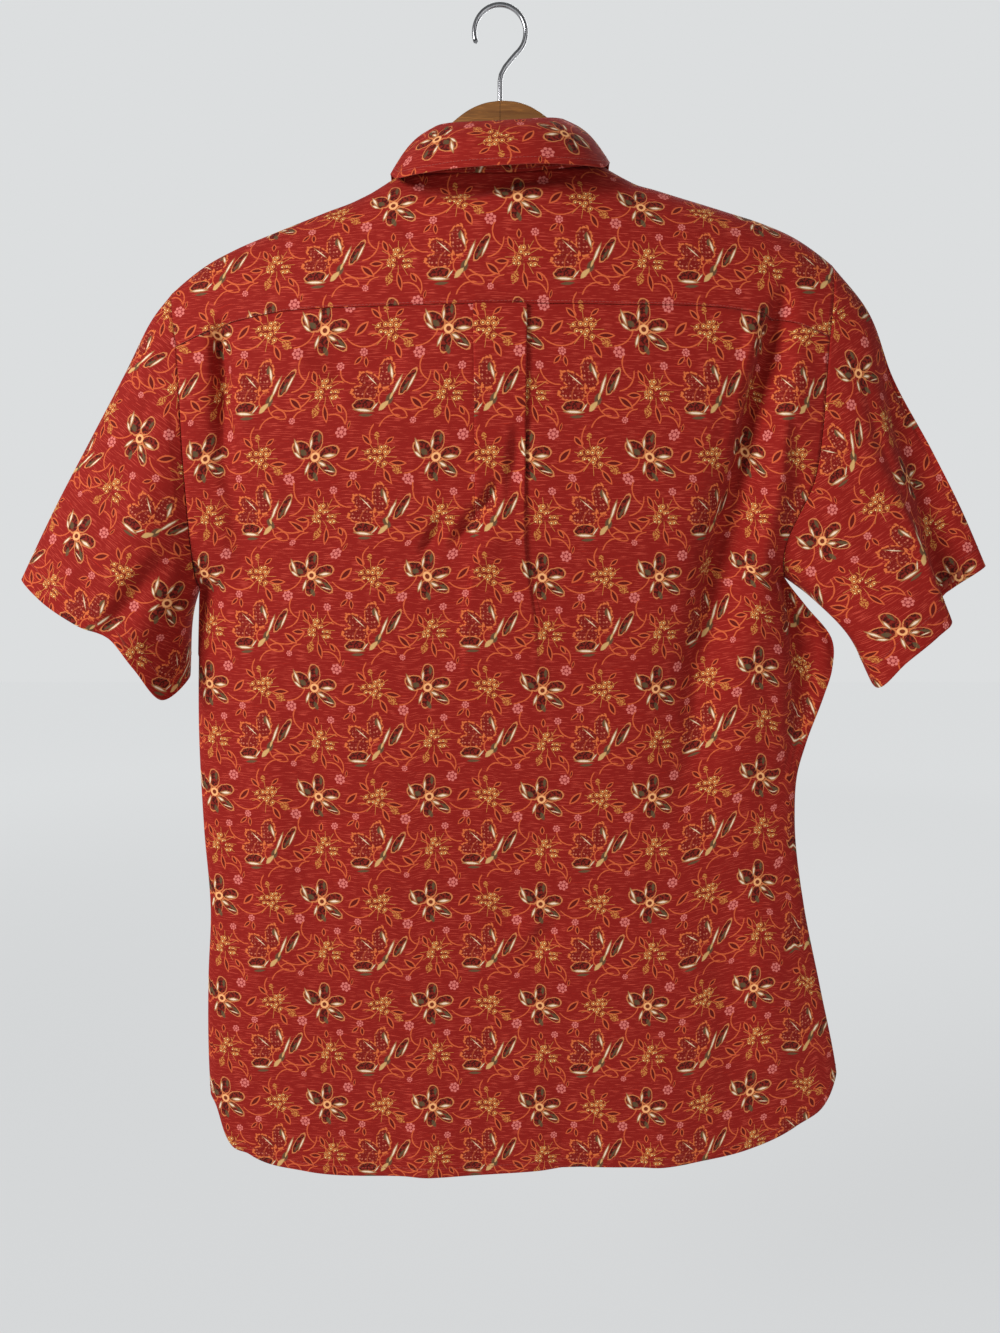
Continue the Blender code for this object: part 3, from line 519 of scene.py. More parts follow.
# Small creases drawn on a face: x, z, outward height, half width, all in millimetres
BACK_CREASES = (
    # Right groove
    ((205.2, -194.2, 0, 4.8), (199.8, -211.4, -6.5, 6.8), (194.2, -227.5, -14.1, 9.1),
     (190.5, -246.9, -17.8, 10.6), (184, -274.7, -18.8, 11.8), (178.4, -311.6, -17.4, 12.7),
     (174.5, -334.8, -16.5, 13.7), (170.3, -361.2, -15.5, 15.1), (162.8, -407.4, -14.6, 16.4),
     (159.3, -445.8, -12.8, 16.4), (154.1, -471.3, -10.9, 17.6), (152.6, -533.8, -7.7, 20.2),
     (140.1, -622.3, 0, 22.7)),
    # Right lip
    ((181.4, -212, 0, 6), (178.3, -238.9, 3.2, 7), (172.1, -274.9, 3.8, 8), (167.2, -311.7, 3.2, 9),
     (163.6, -350.5, 1.6, 10), (156.9, -394, 0, 12)),
    # Right soft roll
    ((212.9, -231.5, 0, 10), (213.2, -272.5, 3.7, 12), (206.7, -321.7, 4.5, 14), (201.8, -379.3, 3.7, 14),
     (200, -425, 2.3, 16), (190.9, -487.4, 0, 18)),
    # Left groove
    ((-199.4, -222.4, 0, 4.8), (-201.2, -232, -7.2, 6.5), (-203.5, -244.9, -9.9, 6.5),
     (-201.9, -269.4, -9.4, 7.8), (-203, -293.7, -7.8, 7.8), (-199.9, -328.9, -5.1, 10.4),
     (-195.8, -372, -3.6, 11.7), (-198.1, -417.1, 0, 13)),
    # Left lip
    ((-189.1, -232.4, 0, 6), (-190.1, -259.3, 2.9, 7), (-190.1, -293.9, 2.2, 8), (-188.8, -336.1, 0, 9)),
    # Pleat right shade
    ((12, -295.4, 0, 4.8), (9.9, -316, -5.2, 5.4), (7.9, -336.8, -4.3, 7.2), (6.5, -357.9, 0, 9.6)),
    # Diagonal 1
    ((-2.1, -335.4, 0, 3), (-5, -341.7, -4.8, 3.6), (-12.2, -352.9, -6.2, 4.2), (-21.7, -364.3, -6.6, 4.8),
     (-30.4, -375.7, -5.3, 4.8), (-37.1, -384.4, 0, 6)),
    # Diagonal 2
    ((-41.1, -361.4, 0, 3.6), (-47.1, -370.7, -4.6, 4.8), (-53.1, -381.5, -5.1, 4.8),
     (-59.1, -390.9, 0, 4.8)),
    # Diagonal side
    ((3.6, -365, 0, 8), (-9.4, -382.9, 2.7, 9), (-23.4, -399.6, 2.1, 10), (-36.8, -414.3, 0, 10)),
    # Soft dip left
    ((-140.5, -246.9, 0, 10), (-122.8, -255.4, -4.5, 12), (-105.2, -262.4, -5.4, 13),
     (-80.4, -260.1, -4, 12), (-62.8, -256.2, 0, 10)),
    # Under dip
    ((-119.9, -275.8, 0, 10), (-105.7, -278.7, 2.1, 12), (-87.9, -276.1, 0, 10)),
    # Horizontal
    ((-154.5, -600.8, 0, 4), (-138.2, -598.5, -3.1, 4), (-118, -595.3, -3.5, 4.5),
     (-100.3, -591.5, -2.3, 4), (-90, -590.3, 0, 4)),
    # Waist 1
    ((-15.8, -666, 0, 9), (4, -678.6, -3.4, 10.8), (23.9, -687, 0, 9)),
    # Waist 2
    ((47.6, -670.6, 0, 7.2), (40.6, -683, -3.8, 8.1), (27.9, -699.6, -3.8, 9), (13.6, -713.8, 0, 9)),
    # Waist 3
    ((0, -616, 0, 9), (23.5, -624.4, -3.2, 10.8), (47.1, -620.5, 0, 9)),
    # Lower left roll
    ((-193.4, -455.9, 0, 16), (-187.2, -535.2, 2.7, 20), (-186.1, -633.8, 3, 22), (-194.6, -736.1, 1.8, 22),
     (-200.9, -823.8, 0, 20)),
    # Lower left dip
    ((-154.9, -502.2, 0, 18), (-153.1, -582.7, -2.1, 22), (-150.8, -665.6, -1.8, 22),
     (-154.8, -751, 0, 20)),
    # Lower right roll
    ((192.7, -634.1, 0, 16), (205, -693.8, 3.3, 20), (216, -763.5, 3.6, 22), (225.5, -834.8, 0, 20)),
    # Lower right dip
    ((170.6, -666.6, 0, 16), (179.4, -735.2, -2.7, 20), (188.3, -805.2, -2.1, 20), (196.1, -867.7, 0, 20)),
    # Hem wave 1
    ((-65, -798.2, 0, 18), (-62.1, -841.2, 2.1, 20), (-60.9, -894.8, 3, 20)),
    # Hem wave 2
    ((48.6, -789.2, 0, 18), (50.6, -840.9, -2.1, 20), (52.6, -894.5, -3, 20)),
    # Hem wave 3
    ((122.3, -783.6, 0, 18), (127.4, -835.9, 2.1, 20), (132.6, -893.1, 3, 20)),
    # Sag below the collar
    ((-79.1, -123.5, 0, 6), (-68.9, -127, -1.6, 7), (-47.7, -136, -6, 8.5), (-19.8, -138.5, -7.2, 9),
     (-2.9, -136, -7.2, 9), (19.1, -131.5, -6, 8.5), (52, -127, -2.4, 8), (80.5, -122.8, 0, 6)),
    # Left pucker
    ((-73.1, -161.6, 0, 4), (-65.3, -166.4, -1.6, 4.5), (-57.5, -171.9, -1, 5), (-46, -178.1, 0, 5)),
    # Right pucker
    ((106.9, -121.3, 0, 5), (96.8, -126.1, -1.4, 6), (85.4, -131.6, 0, 6)),
    # Left shoulder pucker
    ((-123.2, -144.8, 0, 5), (-110.8, -137.9, -1.4, 6), (-99.8, -132.3, 0, 6)),
    # Turned side under the arm
    ((216.3, -398.5, -3, 7), (224, -423.8, -11, 11), (230.4, -457, -14, 13), (235.5, -492, -11, 14),
     (233.2, -530.5, -5, 14), (227.7, -569.4, 0, 14)),
    # Groove beside the armhole
    ((209, -274.1, 0, 6), (212.3, -306.4, -6, 9), (216.1, -349.9, -8, 10), (215.8, -382.9, -6, 10),
     (213.7, -408.9, 0, 8)),
)
FRONT_CREASES = (
    # Side groove
    ((196, -210, 0, 6), (188, -250, -7, 8), (179, -310, -8, 10), (172, -380, -5, 13), (165, -470, -3, 15),
     (160, -570, 0, 17)),
    # Other side groove
    ((-195, -225, 0, 6), (-197, -260, -6, 7), (-195, -320, -4.5, 9), (-190, -410, 0, 11)),
    # Drag lines from the fourth button
    ((15, -405, 0, 5), (42, -417, -2.6, 7), (76, -426, -1.8, 9), (105, -430, 0, 10)),
    ((-18, -408, 0, 5), (-45, -423, -2.4, 7), (-72, -444, -1.6, 9), (-90, -460, 0, 10)),
    # Soft dips of the hanging cloth
    ((110, -560, 0, 16), (112, -650, -3.4, 22), (118, -760, -2.6, 22), (120, -830, 0, 20)),
    ((-115, -530, 0, 16), (-120, -630, 3, 20), (-123, -740, 2.4, 22), (-126, -830, 0, 20)),
    ((55, -300, 0, 12), (90, -286, -2.6, 13), (125, -276, 0, 12)),
)

# The same on the sleeves, by side and face: -1 is the wearer's left, and the back
SLEEVE_CREASES = {
    (-1, -1): (
        # Fold to the cuff
        ((-243.7, -382.9, 0, 6.6), (-257.7, -401.2, -5.2, 8.8), (-270.2, -415.9, -7.8, 9.9),
         (-284.3, -434.4, -7.2, 9.9), (-298.3, -448.5, -3.9, 9.9)),
        # Fold from the underarm
        ((-220.9, -420.6, 0, 5), (-226.4, -429.5, -4.5, 7), (-240.2, -440.7, -5.5, 8),
         (-255.7, -453.5, -3.5, 9), (-269.7, -465.5, 0, 10)),
        # Roll down the middle
        ((-233.7, -279.1, 0, 12), (-248.2, -314.5, 3, 18), (-263.2, -357.5, 3, 18),
         (-279.5, -393.9, 0, 16)),
        # Cuff ripple
        ((-325.2, -423.3, 0, 6), (-320.1, -412.2, 2, 8), (-310.4, -393.9, 0, 10)),
    ),
    (-1, 1): (
        # Front fold
        ((-226, -395, 0, 6), (-245, -408, -4, 8), (-268, -423, -4.5, 9), (-290, -440, 0, 10)),
        # Front roll
        ((-240, -290, 0, 12), (-256, -330, -2.8, 18), (-274, -375, -2.6, 18), (-288, -405, 0, 16)),
    ),
    (1, -1): (
        # Step of the turned edge
        ((276.4, -240.6, 0, 7.8), (289.3, -270.7, -7.5, 12), (299.4, -301, -15, 14.4),
         (313.3, -330.2, -16.8, 16), (324.5, -364, -16.8, 16), (335.3, -399.7, -15, 14.4),
         (341.4, -417.4, -10.4, 14.4)),
        # Roll beside the step
        ((274.9, -265, 0, 10), (284.6, -301, 3, 12), (296.9, -330.2, 3.5, 13), (308.1, -364, 3.5, 13),
         (318, -399.7, 3, 13), (325.2, -423.3, 2, 13)),
        # Fold from the underarm
        ((220.2, -382.9, 0, 7), (236.8, -393.9, -3, 9), (255.4, -415.9, -3, 10), (269.7, -438.1, 0, 10)),
        # Soft dip
        ((253.7, -307.4, 0, 14), (264.3, -350.3, -3, 20), (276.5, -393.9, -3, 20), (287.4, -438.1, 0, 18)),
    ),
    (1, 1): (
        # Front fold
        ((229, -385, 0, 7), (248, -401, -3.6, 9), (268, -421, -3.4, 10), (280, -438, 0, 10)),
        # Front dip
        ((260, -290, 0, 14), (274, -340, -3, 20), (290, -385, 0, 18)),
    ),
}

# Blossoms of the gold clusters and beads of the fans, across one repeat
BLOSSOMS_PER_REPEAT = 23
BEADS_PER_REPEAT = 31.0

# Print: every row gives one drawn shape in shares of the repeat. Its columns are frame, x, y (down),
# degrees (up from across), length and half width. The frame is the corner or middle of the repeat that
# the shape lies round.
FLOWER, SIDE, BELOW, CORNER = (-0.5, -0.5), (0.0, -0.5), (-0.5, 0.0), (0.0, 0.0)

LEAVES = (
    (SIDE, 0.302, -0.008, 45, 0.150, 0.028),
    (SIDE, 0.418, -0.122, 135, 0.110, 0.021),
    (SIDE, 0.609, -0.128, 40, 0.085, 0.018),
    (SIDE, 0.692, 0.051, 0, 0.145, 0.022),
    (SIDE, 0.612, 0.165, -65, 0.130, 0.025),
    (SIDE, 0.284, 0.236, 45, 0.092, 0.017),
    (SIDE, 0.348, 0.248, 95, 0.085, 0.018),
    (SIDE, 0.263, -0.235, 78, 0.070, 0.011),
    (BELOW, -0.125, 0.511, 0, 0.115, 0.022),
    (BELOW, -0.056, 0.368, 112, 0.110, 0.022),
    (BELOW, 0.010, 0.296, 92, 0.080, 0.019),
    (BELOW, 0.060, 0.660, -78, 0.150, 0.021),
    (BELOW, 0.173, 0.630, -58, 0.085, 0.019),
    (BELOW, -0.197, 0.570, 140, 0.140, 0.027),
)
PETALS = (
    (FLOWER, 0.002, -0.128, 90, 0.180, 0.055),
    (FLOWER, -0.112, -0.062, 148, 0.190, 0.066),
    (FLOWER, 0.112, -0.030, 10, 0.180, 0.055),
    (FLOWER, 0.108, 0.092, -40, 0.200, 0.044),
    (FLOWER, -0.012, 0.110, -97, 0.165, 0.046),
    (CORNER, 0.715, 0.405, 60, 0.250, 0.036),
    (CORNER, 0.372, 0.600, 188, 0.190, 0.048),
)
LOBES = (
    (CORNER, 0.530, 0.345, 92, 0.260, 0.070),
    (CORNER, 0.395, 0.400, 150, 0.230, 0.062),
    (CORNER, 0.375, 0.500, 180, 0.230, 0.062),
)
HIGHLIGHTS = (
    (FLOWER, -0.040, -0.110, 84, 0.120, 0.014),
    (FLOWER, -0.158, -0.085, 112, 0.160, 0.018),
    (FLOWER, -0.150, -0.020, -38, 0.100, 0.016),
    (FLOWER, 0.118, -0.004, 2, 0.130, 0.021),
    (FLOWER, 0.062, 0.060, -28, 0.100, 0.020),
    (FLOWER, 0.128, 0.122, -14, 0.120, 0.008),
    (FLOWER, -0.062, 0.088, 72, 0.120, 0.016),
    (CORNER, 0.628, 0.440, 68, 0.230, 0.016),
    (CORNER, 0.745, 0.405, 66, 0.190, 0.014),
    (CORNER, 0.570, 0.335, -74, 0.150, 0.016),
    (CORNER, 0.412, 0.392, -42, 0.170, 0.007),
    (CORNER, 0.372, 0.645, -2, 0.190, 0.019),
    (CORNER, 0.462, 0.612, 52, 0.110, 0.009),
)
BUDS = (
    (CORNER, 0.535, 0.602, 48, 0.125, 0.026),
    (CORNER, 0.592, 0.520, 70, 0.080, 0.012),
)
SHADES = (
    (CORNER, 0.578, 0.545, 75, 0.110, 0.034),
    (FLOWER, 0.025, -0.150, 90, 0.090, 0.016),
    (FLOWER, 0.140, 0.100, -40, 0.110, 0.014),
    (FLOWER, 0.010, 0.160, -70, 0.090, 0.022),
    (FLOWER, -0.100, -0.040, 140, 0.080, 0.026),
    (CORNER, 0.395, 0.682, 5, 0.130, 0.014),
    (CORNER, 0.572, 0.536, 62, 0.070, 0.019),
    (CORNER, 0.700, 0.445, 60, 0.120, 0.012),
    (CORNER, 0.545, 0.300, 84, 0.080, 0.018),
)
FERNS = (
    (SIDE, 0.690, 0.105, -35, 0.110, 0.036),
    (SIDE, 0.500, -0.160, 95, 0.070, 0.024),
    (BELOW, -0.022, 0.636, -108, 0.115, 0.032),
)

# Clusters of blossoms: frame, x, y, radius
GOLD_CLUSTERS = (
    (SIDE, 0.528, -0.020, 0.066),
    (SIDE, 0.560, 0.052, 0.044),
    (SIDE, 0.452, -0.012, 0.042),
    (SIDE, 0.590, -0.045, 0.036),
    (BELOW, 0.000, 0.505, 0.046),
    (BELOW, 0.052, 0.425, 0.050),
    (BELOW, 0.122, 0.512, 0.046),
)
PINK_CLUSTERS = (
    (SIDE, 0.203, -0.181, 0.046),
    (SIDE, 0.328, 0.172, 0.032),
    (FLOWER, -0.215, 0.177, 0.046),
    (BELOW, 0.137, 0.280, 0.032),
    (BELOW, -0.215, 0.706, 0.026),
)

# Rays round the gold clusters: frame, x, y, inner and outer radius, count
RAYS = (
    (SIDE, 0.530, 0.005, 0.050, 0.150, 11),
    (BELOW, 0.050, 0.480, 0.050, 0.150, 12),
)

# Stems are arcs: frame, x and y of the centre, degrees of the arc's middle, radius, how far round it runs
# (1 for none of it to -1 for the whole circle)
STEMS = (
    (FLOWER, -0.250, -0.040, -45, 0.170, 0.72),
    (SIDE, 0.330, -0.060, -90, 0.192, 0.66),
    (FLOWER, -0.070, 0.270, 195, 0.130, 0.62),
    (BELOW, 0.270, 0.300, 225, 0.130, 0.62),
    (BELOW, -0.250, 0.430, -80, 0.195, 0.62),
    (BELOW, 0.140, 0.500, 110, 0.090, 0.60),
    (BELOW, -0.110, 0.720, 135, 0.100, 0.70),
    (CORNER, 0.700, 0.560, 235, 0.130, 0.66),
    (CORNER, 0.560, 0.540, 165, 0.070, 0.10),
    (CORNER, 0.640, 0.800, 120, 0.130, 0.70),
    (BELOW, 0.120, 0.780, 60, 0.110, 0.70),
    (SIDE, 0.120, -0.290, 20, 0.120, 0.72),
    (CORNER, 0.660, 0.690, 75, 0.075, 0.40),
    (BELOW, -0.260, 0.330, -40, 0.150, 0.74),
    (CORNER, 0.480, 0.530, 172, 0.110, 0.72),
    (SIDE, 0.400, 0.120, 80, 0.090, 0.80),
    (CORNER, 0.560, 0.830, 178, 0.120, 0.80),
    (CORNER, 0.860, 0.470, 20, 0.120, 0.84),
)


def along(rows, places):
    """Reads a table on a smooth curve through its rows, whose first column is the place."""
    table = np.asarray(rows, dtype=float)
    knots, values = table[:, 0], table[:, 1:]
    widths = np.diff(knots)[:, None]
    slopes = np.diff(values, axis=0) / widths
    leans = np.zeros_like(values)
    leans[1:-1] = (slopes[1:] * widths[:-1] + slopes[:-1] * widths[1:]) / (widths[1:] + widths[:-1])
    leans[0], leans[-1] = slopes[0], slopes[-1]
    places = np.clip(np.asarray(places, dtype=float), knots[0], knots[-1])
    row = np.clip(np.searchsorted(knots, places, side="right") - 1, 0, len(knots) - 2)
    width = widths[row, 0][..., None]
    share = ((places - knots[row])[..., None]) / width
    start, end = values[row], values[row + 1]
    bend = (2 * share**3 - 3 * share**2 + 1) * start + (3 * share**2 - 2 * share**3) * end
    bend += width * (share**3 - 2 * share**2 + share) * leans[row]
    bend += width * (share**3 - share**2) * leans[row + 1]
    return bend[..., 0] if values.shape[1] == 1 else bend


def around(rows, degrees):
    """Reads a closed table, whose first column is in degrees and starts at 0."""
    table = [tuple(row) for row in rows]
    before = [(row[0] - 360, *row[1:]) for row in table[-2:]]
    after = [(row[0] + 360, *row[1:]) for row in table[:2]]
    return along(before + table + after, np.mod(degrees, 360.0))


def ease(low, high, value):
    """Rises smoothly from 0 at low to 1 at high."""
    share = np.clip((value - low) / (high - low), 0.0, 1.0)
    return share * share * (3 - 2 * share)


def ridge(x):
    """Height of the line over the hanger. Between the neck points it is the dome the neck is cut from."""
    width = np.abs(x)
    dome = np.clip(1 - (width / NECK_HALF_WIDTH) ** 2, 0, 1)
    inside = NECK_POINT_Z + NECK_RISE * dome + NECK_DOME * dome**2
    outside = along(RIDGE, width)
    return np.where(width < NECK_HALF_WIDTH, inside, outside) + SHOULDER_TILT * x


def half_width(t, z):
    return np.where(t < 0, along(LEFT_EDGE, -z), along(RIGHT_EDGE, -z))


def fold_height(folds, x, z):
    """Outward height of the folds at a place: each row table is one fold along its own line."""
    height = np.zeros(np.broadcast(x, z).shape)
    for rows in folds:
        line = along(rows, -z)
        reach = np.maximum(line[..., 2], 0.001)
        inside = (-z > rows[0][0]) & (-z < rows[-1][0])
        height += np.where(inside, line[..., 1], 0.0) * np.exp(-(((x - line[..., 0]) / reach) ** 2))
    return height


def torso(t, q, face):
    """Points of the body's outer surface. face is -1 for the back and +1 for the front."""
    t, q = np.broadcast_arrays(np.asarray(t, dtype=float), np.asarray(q, dtype=float))
    cap_end = CAP_END_Z + CAP_END_TILT * t
    turn = np.minimum(q, 1.0) * math.pi / 2
    low = cap_end - np.maximum(q - 1.0, 0.0) * DROP_PER_Q
    ridge_width = half_width(t, np.full_like(t, RIDGE_END_Z))
    width = half_width(t, low)
    width = width + (ridge_width - width) * np.cos(turn)
    below = ease(TUBE_FROM, TUBE_FULL, -low)
    across = (1 - below) * t + below * np.sin(t * math.pi / 2)
    flare = np.where(t > 0, half_width(t, low) - along(RIGHT_PANEL, -low), 0.0)
    x = width * across - flare * (across - np.abs(t) ** FLARE_SHARPNESS)
    z = np.where(q > 1.0, low, cap_end + (ridge(x) - cap_end) * np.cos(turn))
    section = along(SIDE_SECTION, -low)
    middle = section[..., 0] if face < 0 else section[..., 2]
    near_side = ease(*SIDE_BLEND, np.abs(t))
    depth = armhole_half_depth(t, low) * near_side + chest_half_depth(t, low) * (1 - near_side)
    edge = section[..., 1] + face * depth
    fullness = (1 - below) * (1 - np.abs(t) ** FLATNESS) + below * np.cos(t * math.pi / 2)
    y = (edge + (middle - edge) * fullness) * np.sin(turn)
    folds = BACK_FOLDS if face < 0 else FRONT_FOLDS
    creases = BACK_CREASES if face < 0 else FRONT_CREASES
    height = fold_height(folds, x, z) + crease_height(creases, x, z)
    y = y + face * height * np.clip((1 - np.abs(t)) * FOLD_EDGE_FADE, 0, 1)
    return np.stack([x, y, z], axis=-1)


def armhole_span(t):
    """Middle height and half height of the armhole on the side of t."""
    top = RIDGE_END_Z + SHOULDER_TILT * RIDGE_END_X * np.sign(t)
    bottom = CAP_END_Z + CAP_END_TILT * np.sign(t) - (UNDERARM_Q - 1) * DROP_PER_Q
    return (top + bottom) / 2, (top - bottom) / 2


def armhole_half_depth(t, z):
    """Half depth of the armhole's opening in Y, which shuts at the underarm."""
    middle, reach = armhole_span(t)
    return ARMHOLE_HALF_DEPTH * np.sqrt(np.clip(1 - ((z - middle) / reach) ** 2, 0, 1))


def chest_half_depth(t, z):
    """The same depth inwards from the armhole, where it dies out slowly below the underarm."""
    middle, _ = armhole_span(t)
    lower = ARMHOLE_HALF_DEPTH * (1 - ease(0, 1, (middle - z) / (middle + CHEST_END)))
    return np.where(z > middle, armhole_half_depth(t, z), lower)


def q_at_height(t, z):
    """Turns a height into the q that gives it, at a place across."""
    cap_end = CAP_END_Z + CAP_END_TILT * t
    low_width = half_width(t, cap_end)
    ridge_width = half_width(t, np.full_like(cap_end, RIDGE_END_Z))
    cosine = np.zeros_like(cap_end)
    for _ in range(5):
        x = t * (low_width + (ridge_width - low_width) * cosine)
        cosine = np.clip((z - cap_end) / (ridge(x) - cap_end), 0, 1)
    return np.where(z > cap_end, np.arccos(cosine) / (math.pi / 2), 1 + (cap_end - z) / DROP_PER_Q)


def neck_place(angle):
    """t and q of the neck seam, at an angle from the centre back; a q below 0 is on the back."""
    cap = np.where(np.cos(angle) > 0, NECK_BACK_CAP, NECK_FRONT_CAP)
    q = -cap * np.cos(angle) / (math.pi / 2)
    x = NECK_HALF_WIDTH * np.sin(angle)
    return x / half_width(x, np.full_like(x, RIDGE_END_Z)), q


def both_faces(t, q):
    """Points of the body where a q below 0 is on the back and one above 0 on the front."""
    back = torso(t, np.abs(q), -1)
    front = torso(t, np.abs(q), 1)
    return np.where((q < 0)[..., None], back, front)


def crease_height(creases, x, z):
    """Outward height of small creases, each a line of rows x, z, height, half width drawn on a face."""
    height = np.zeros(np.broadcast(x, z).shape)
    for rows in creases:
        table = np.column_stack([np.arange(len(rows)), np.array(rows) * MILLIMETRE])
        line = along(table, np.linspace(0, len(rows) - 1, 8 * len(rows)))
        reach = 3 * line[:, 3].max()
        near = ((x > line[:, 0].min() - reach) & (x < line[:, 0].max() + reach)
                & (z > line[:, 1].min() - reach) & (z < line[:, 1].max() + reach))
        if not near.any():
            continue
        away = np.stack([x[near], z[near]], axis=-1)[:, None, :] - line[None, :, :2]
        distance = np.hypot(away[..., 0], away[..., 1])
        nearest = distance.argmin(axis=1)
        gap = distance[np.arange(len(nearest)), nearest]
        run = np.gradient(line[:, :2], axis=0)
        run /= np.linalg.norm(run, axis=1)[:, None]
        offset = away[np.arange(len(nearest)), nearest]
        across = run[nearest, 0] * offset[:, 1] - run[nearest, 1] * offset[:, 0]
        width = line[nearest, 3] * (1 + CREASE_LEAN * np.sign(across))
        height[near] += line[nearest, 2] * np.exp(-(gap / width) ** 2)
    return height


def cloth_map(points, zero_column, top):
    """Flat place of every point of a hanging panel: across from a column, down from a height."""
    steps = np.diff(points, axis=1)
    across = np.zeros(points.shape[:2])
    across[:, 1:] = np.cumsum(np.hypot(steps[..., 0], steps[..., 1]), axis=1)
    across -= across[:, zero_column][:, None]
    steps = np.diff(points, axis=0)
    down = np.zeros(points.shape[:2])
    down[1:] = np.cumsum(np.hypot(steps[..., 1], steps[..., 2]), axis=0)
    down += top - points[0, :, 2]
    return np.stack([across, down], axis=-1)


def pleat_path():
    """Half of the box pleat's section, from its middle outwards: flat distance, folded x, outward height."""
    top = 2 * (TURN_IN_RADIUS + TURN_OUT_RADIUS)
    turn_x = STRIP_HALF_WIDTH - TURN_OUT_RADIUS
    inner_x = STRIP_HALF_WIDTH - UNDERFOLD
    path = [(turn_x * share, top) for share in np.linspace(0, 1, 8)[:-1]]
    for angle in range(90, -91, -18):
        turn = math.radians(angle)
        path.append((turn_x + TURN_OUT_RADIUS * math.cos(turn),
                     top - TURN_OUT_RADIUS + TURN_OUT_RADIUS * math.sin(turn)))
    for angle in range(90, -91, -30):
        turn = math.radians(angle)
        path.append((inner_x - TURN_IN_RADIUS * math.cos(turn), TURN_IN_RADIUS * (1 + math.sin(turn))))
    path += [(STRIP_HALF_WIDTH, 0.0), (STRIP_HALF_WIDTH + 0.002, 0.0)]
    points = np.array(path)
    steps = np.hypot(*np.diff(points, axis=0).T)
    flat = np.concatenate([[0.0], np.cumsum(steps)])
    return np.column_stack([flat, points])


def back_points():
    """Columns run across with the pleat's folds in the middle, rows from the yoke seam to the hem."""
    half = pleat_path()
    pleat = np.concatenate([half[:0:-1] * [-1, -1, 1], half])
    hidden = half[-1, 0] - half[-1, 1]
    side = np.linspace(0, 1, BACK_SIDE_COLUMNS)[1:]
    top_edge = float(half_width(np.array(-1.0), np.array(CAP_END_Z)))
    outer = half[-1, 1] + (top_edge - half[-1, 1]) * side
    folded = np.concatenate([-outer[::-1], pleat[:, 1], outer])
    lift = np.concatenate([np.zeros(len(side)), pleat[:, 2], np.zeros(len(side))])
    flat = np.concatenate([-(outer + hidden)[::-1], pleat[:, 0], outer + hidden])
    folded_t = folded / top_edge * (1 - EDGE_INSET)
    flat_t = flat / (top_edge + hidden) * (1 - EDGE_INSET)
    upper = np.linspace(0, 1, BACK_UPPER_ROWS)
    lower = np.linspace(0, 1, BACK_LOWER_ROWS)[1:]
    top_q = q_at_height(folded_t, along(BACK_SEAM, folded_t) - SEAM_GAP)
    hem_q = 1 + (CAP_END_Z + CAP_END_TILT * flat_t - along(HEM, np.sin(flat_t * math.pi / 2))) / DROP_PER_Q
    q = np.concatenate([
        top_q + (UNDERARM_Q - top_q) * upper[:, None],
        UNDERARM_Q + (hem_q - UNDERARM_Q) * lower[:, None],
    ])
    opened = np.clip((q - 1) * DROP_PER_Q / PLEAT_FADE, 0, 1)
    t = folded_t + (flat_t[None, :] - folded_t) * opened
    points = torso(t, q, -1)
    stay = 1 - ease(PLEAT_FLAT_FROM, 1.0, opened)
    points[..., 1] -= lift * stay
    side_seam_band(points[len(upper) - 1:], 0, 1, -1)
    side_seam_band(points[len(upper) - 1:], -1, -2, -1)
    return points, cloth_map(points, points.shape[1] // 2, BACK_SEAM_MIDDLE)


def side_seam_band(points, column, neighbour, face):
    """Turns the last column before a side seam towards the other face, so that the edges meet flat."""
    fork = np.clip(1 - np.linspace(0, 4.0, len(points)), 0, 1)
    points[:, column, 1] += face * (SEAM_GAP / 2 + UNDERARM_FORK * fork)
    points[:, neighbour, 0] = points[:, column, 0] * 0.9 + points[:, neighbour, 0] * 0.1


def yoke_points():
    """Columns run round the neck, rows from the neck seam outwards."""
    left_seam = float(q_at_height(np.array(-1.0), np.array(BACK_SEAM[0][1])))
    right_seam = float(q_at_height(np.array(1.0), np.array(BACK_SEAM[-1][1])))
    steps = np.interp(np.linspace(0, len(ARMHOLE_STEPS) - 1, YOKE_SIDE_COLUMNS),
                      np.arange(len(ARMHOLE_STEPS)), ARMHOLE_STEPS)
    seam_t = np.linspace(-1 + EDGE_INSET, 1 - EDGE_INSET, YOKE_SEAM_COLUMNS)
    seam_q = -q_at_height(seam_t, along(BACK_SEAM, seam_t) + SEAM_GAP)
    left_q = np.concatenate([FRONT_SEAM_Q * steps[::-1], -left_seam * steps[1:-1]])
    right_q = np.concatenate([-right_seam * steps[-2:0:-1], FRONT_SEAM_Q * steps])
    left_t, right_t = np.full(left_q.shape, -1 + EDGE_INSET), np.full(right_q.shape, 1 - EDGE_INSET)
    outer_t = np.concatenate([left_t, seam_t, right_t])
    outer_q = np.concatenate([left_q, seam_q, right_q])
    corner = [YOKE_CORNER_ANGLE, math.pi / 2, YOKE_END_ANGLE]
    left_angles = np.interp(left_q, [-left_seam, 0, FRONT_SEAM_Q], corner)
    right_angles = np.interp(right_q, [-right_seam, 0, FRONT_SEAM_Q], corner)
    middle_angles = np.linspace(-YOKE_CORNER_ANGLE, YOKE_CORNER_ANGLE, YOKE_SEAM_COLUMNS)
    angles = np.concatenate([-left_angles, middle_angles, right_angles])
    neck_t, neck_q = neck_place(angles)
    share = np.linspace(0, 1, YOKE_ROWS)[:, None]
    t = neck_t + (outer_t - neck_t) * share
    q = neck_q + (outer_q - neck_q) * share
    points = both_faces(t, q)
    return points, yoke_map(t, q, points)


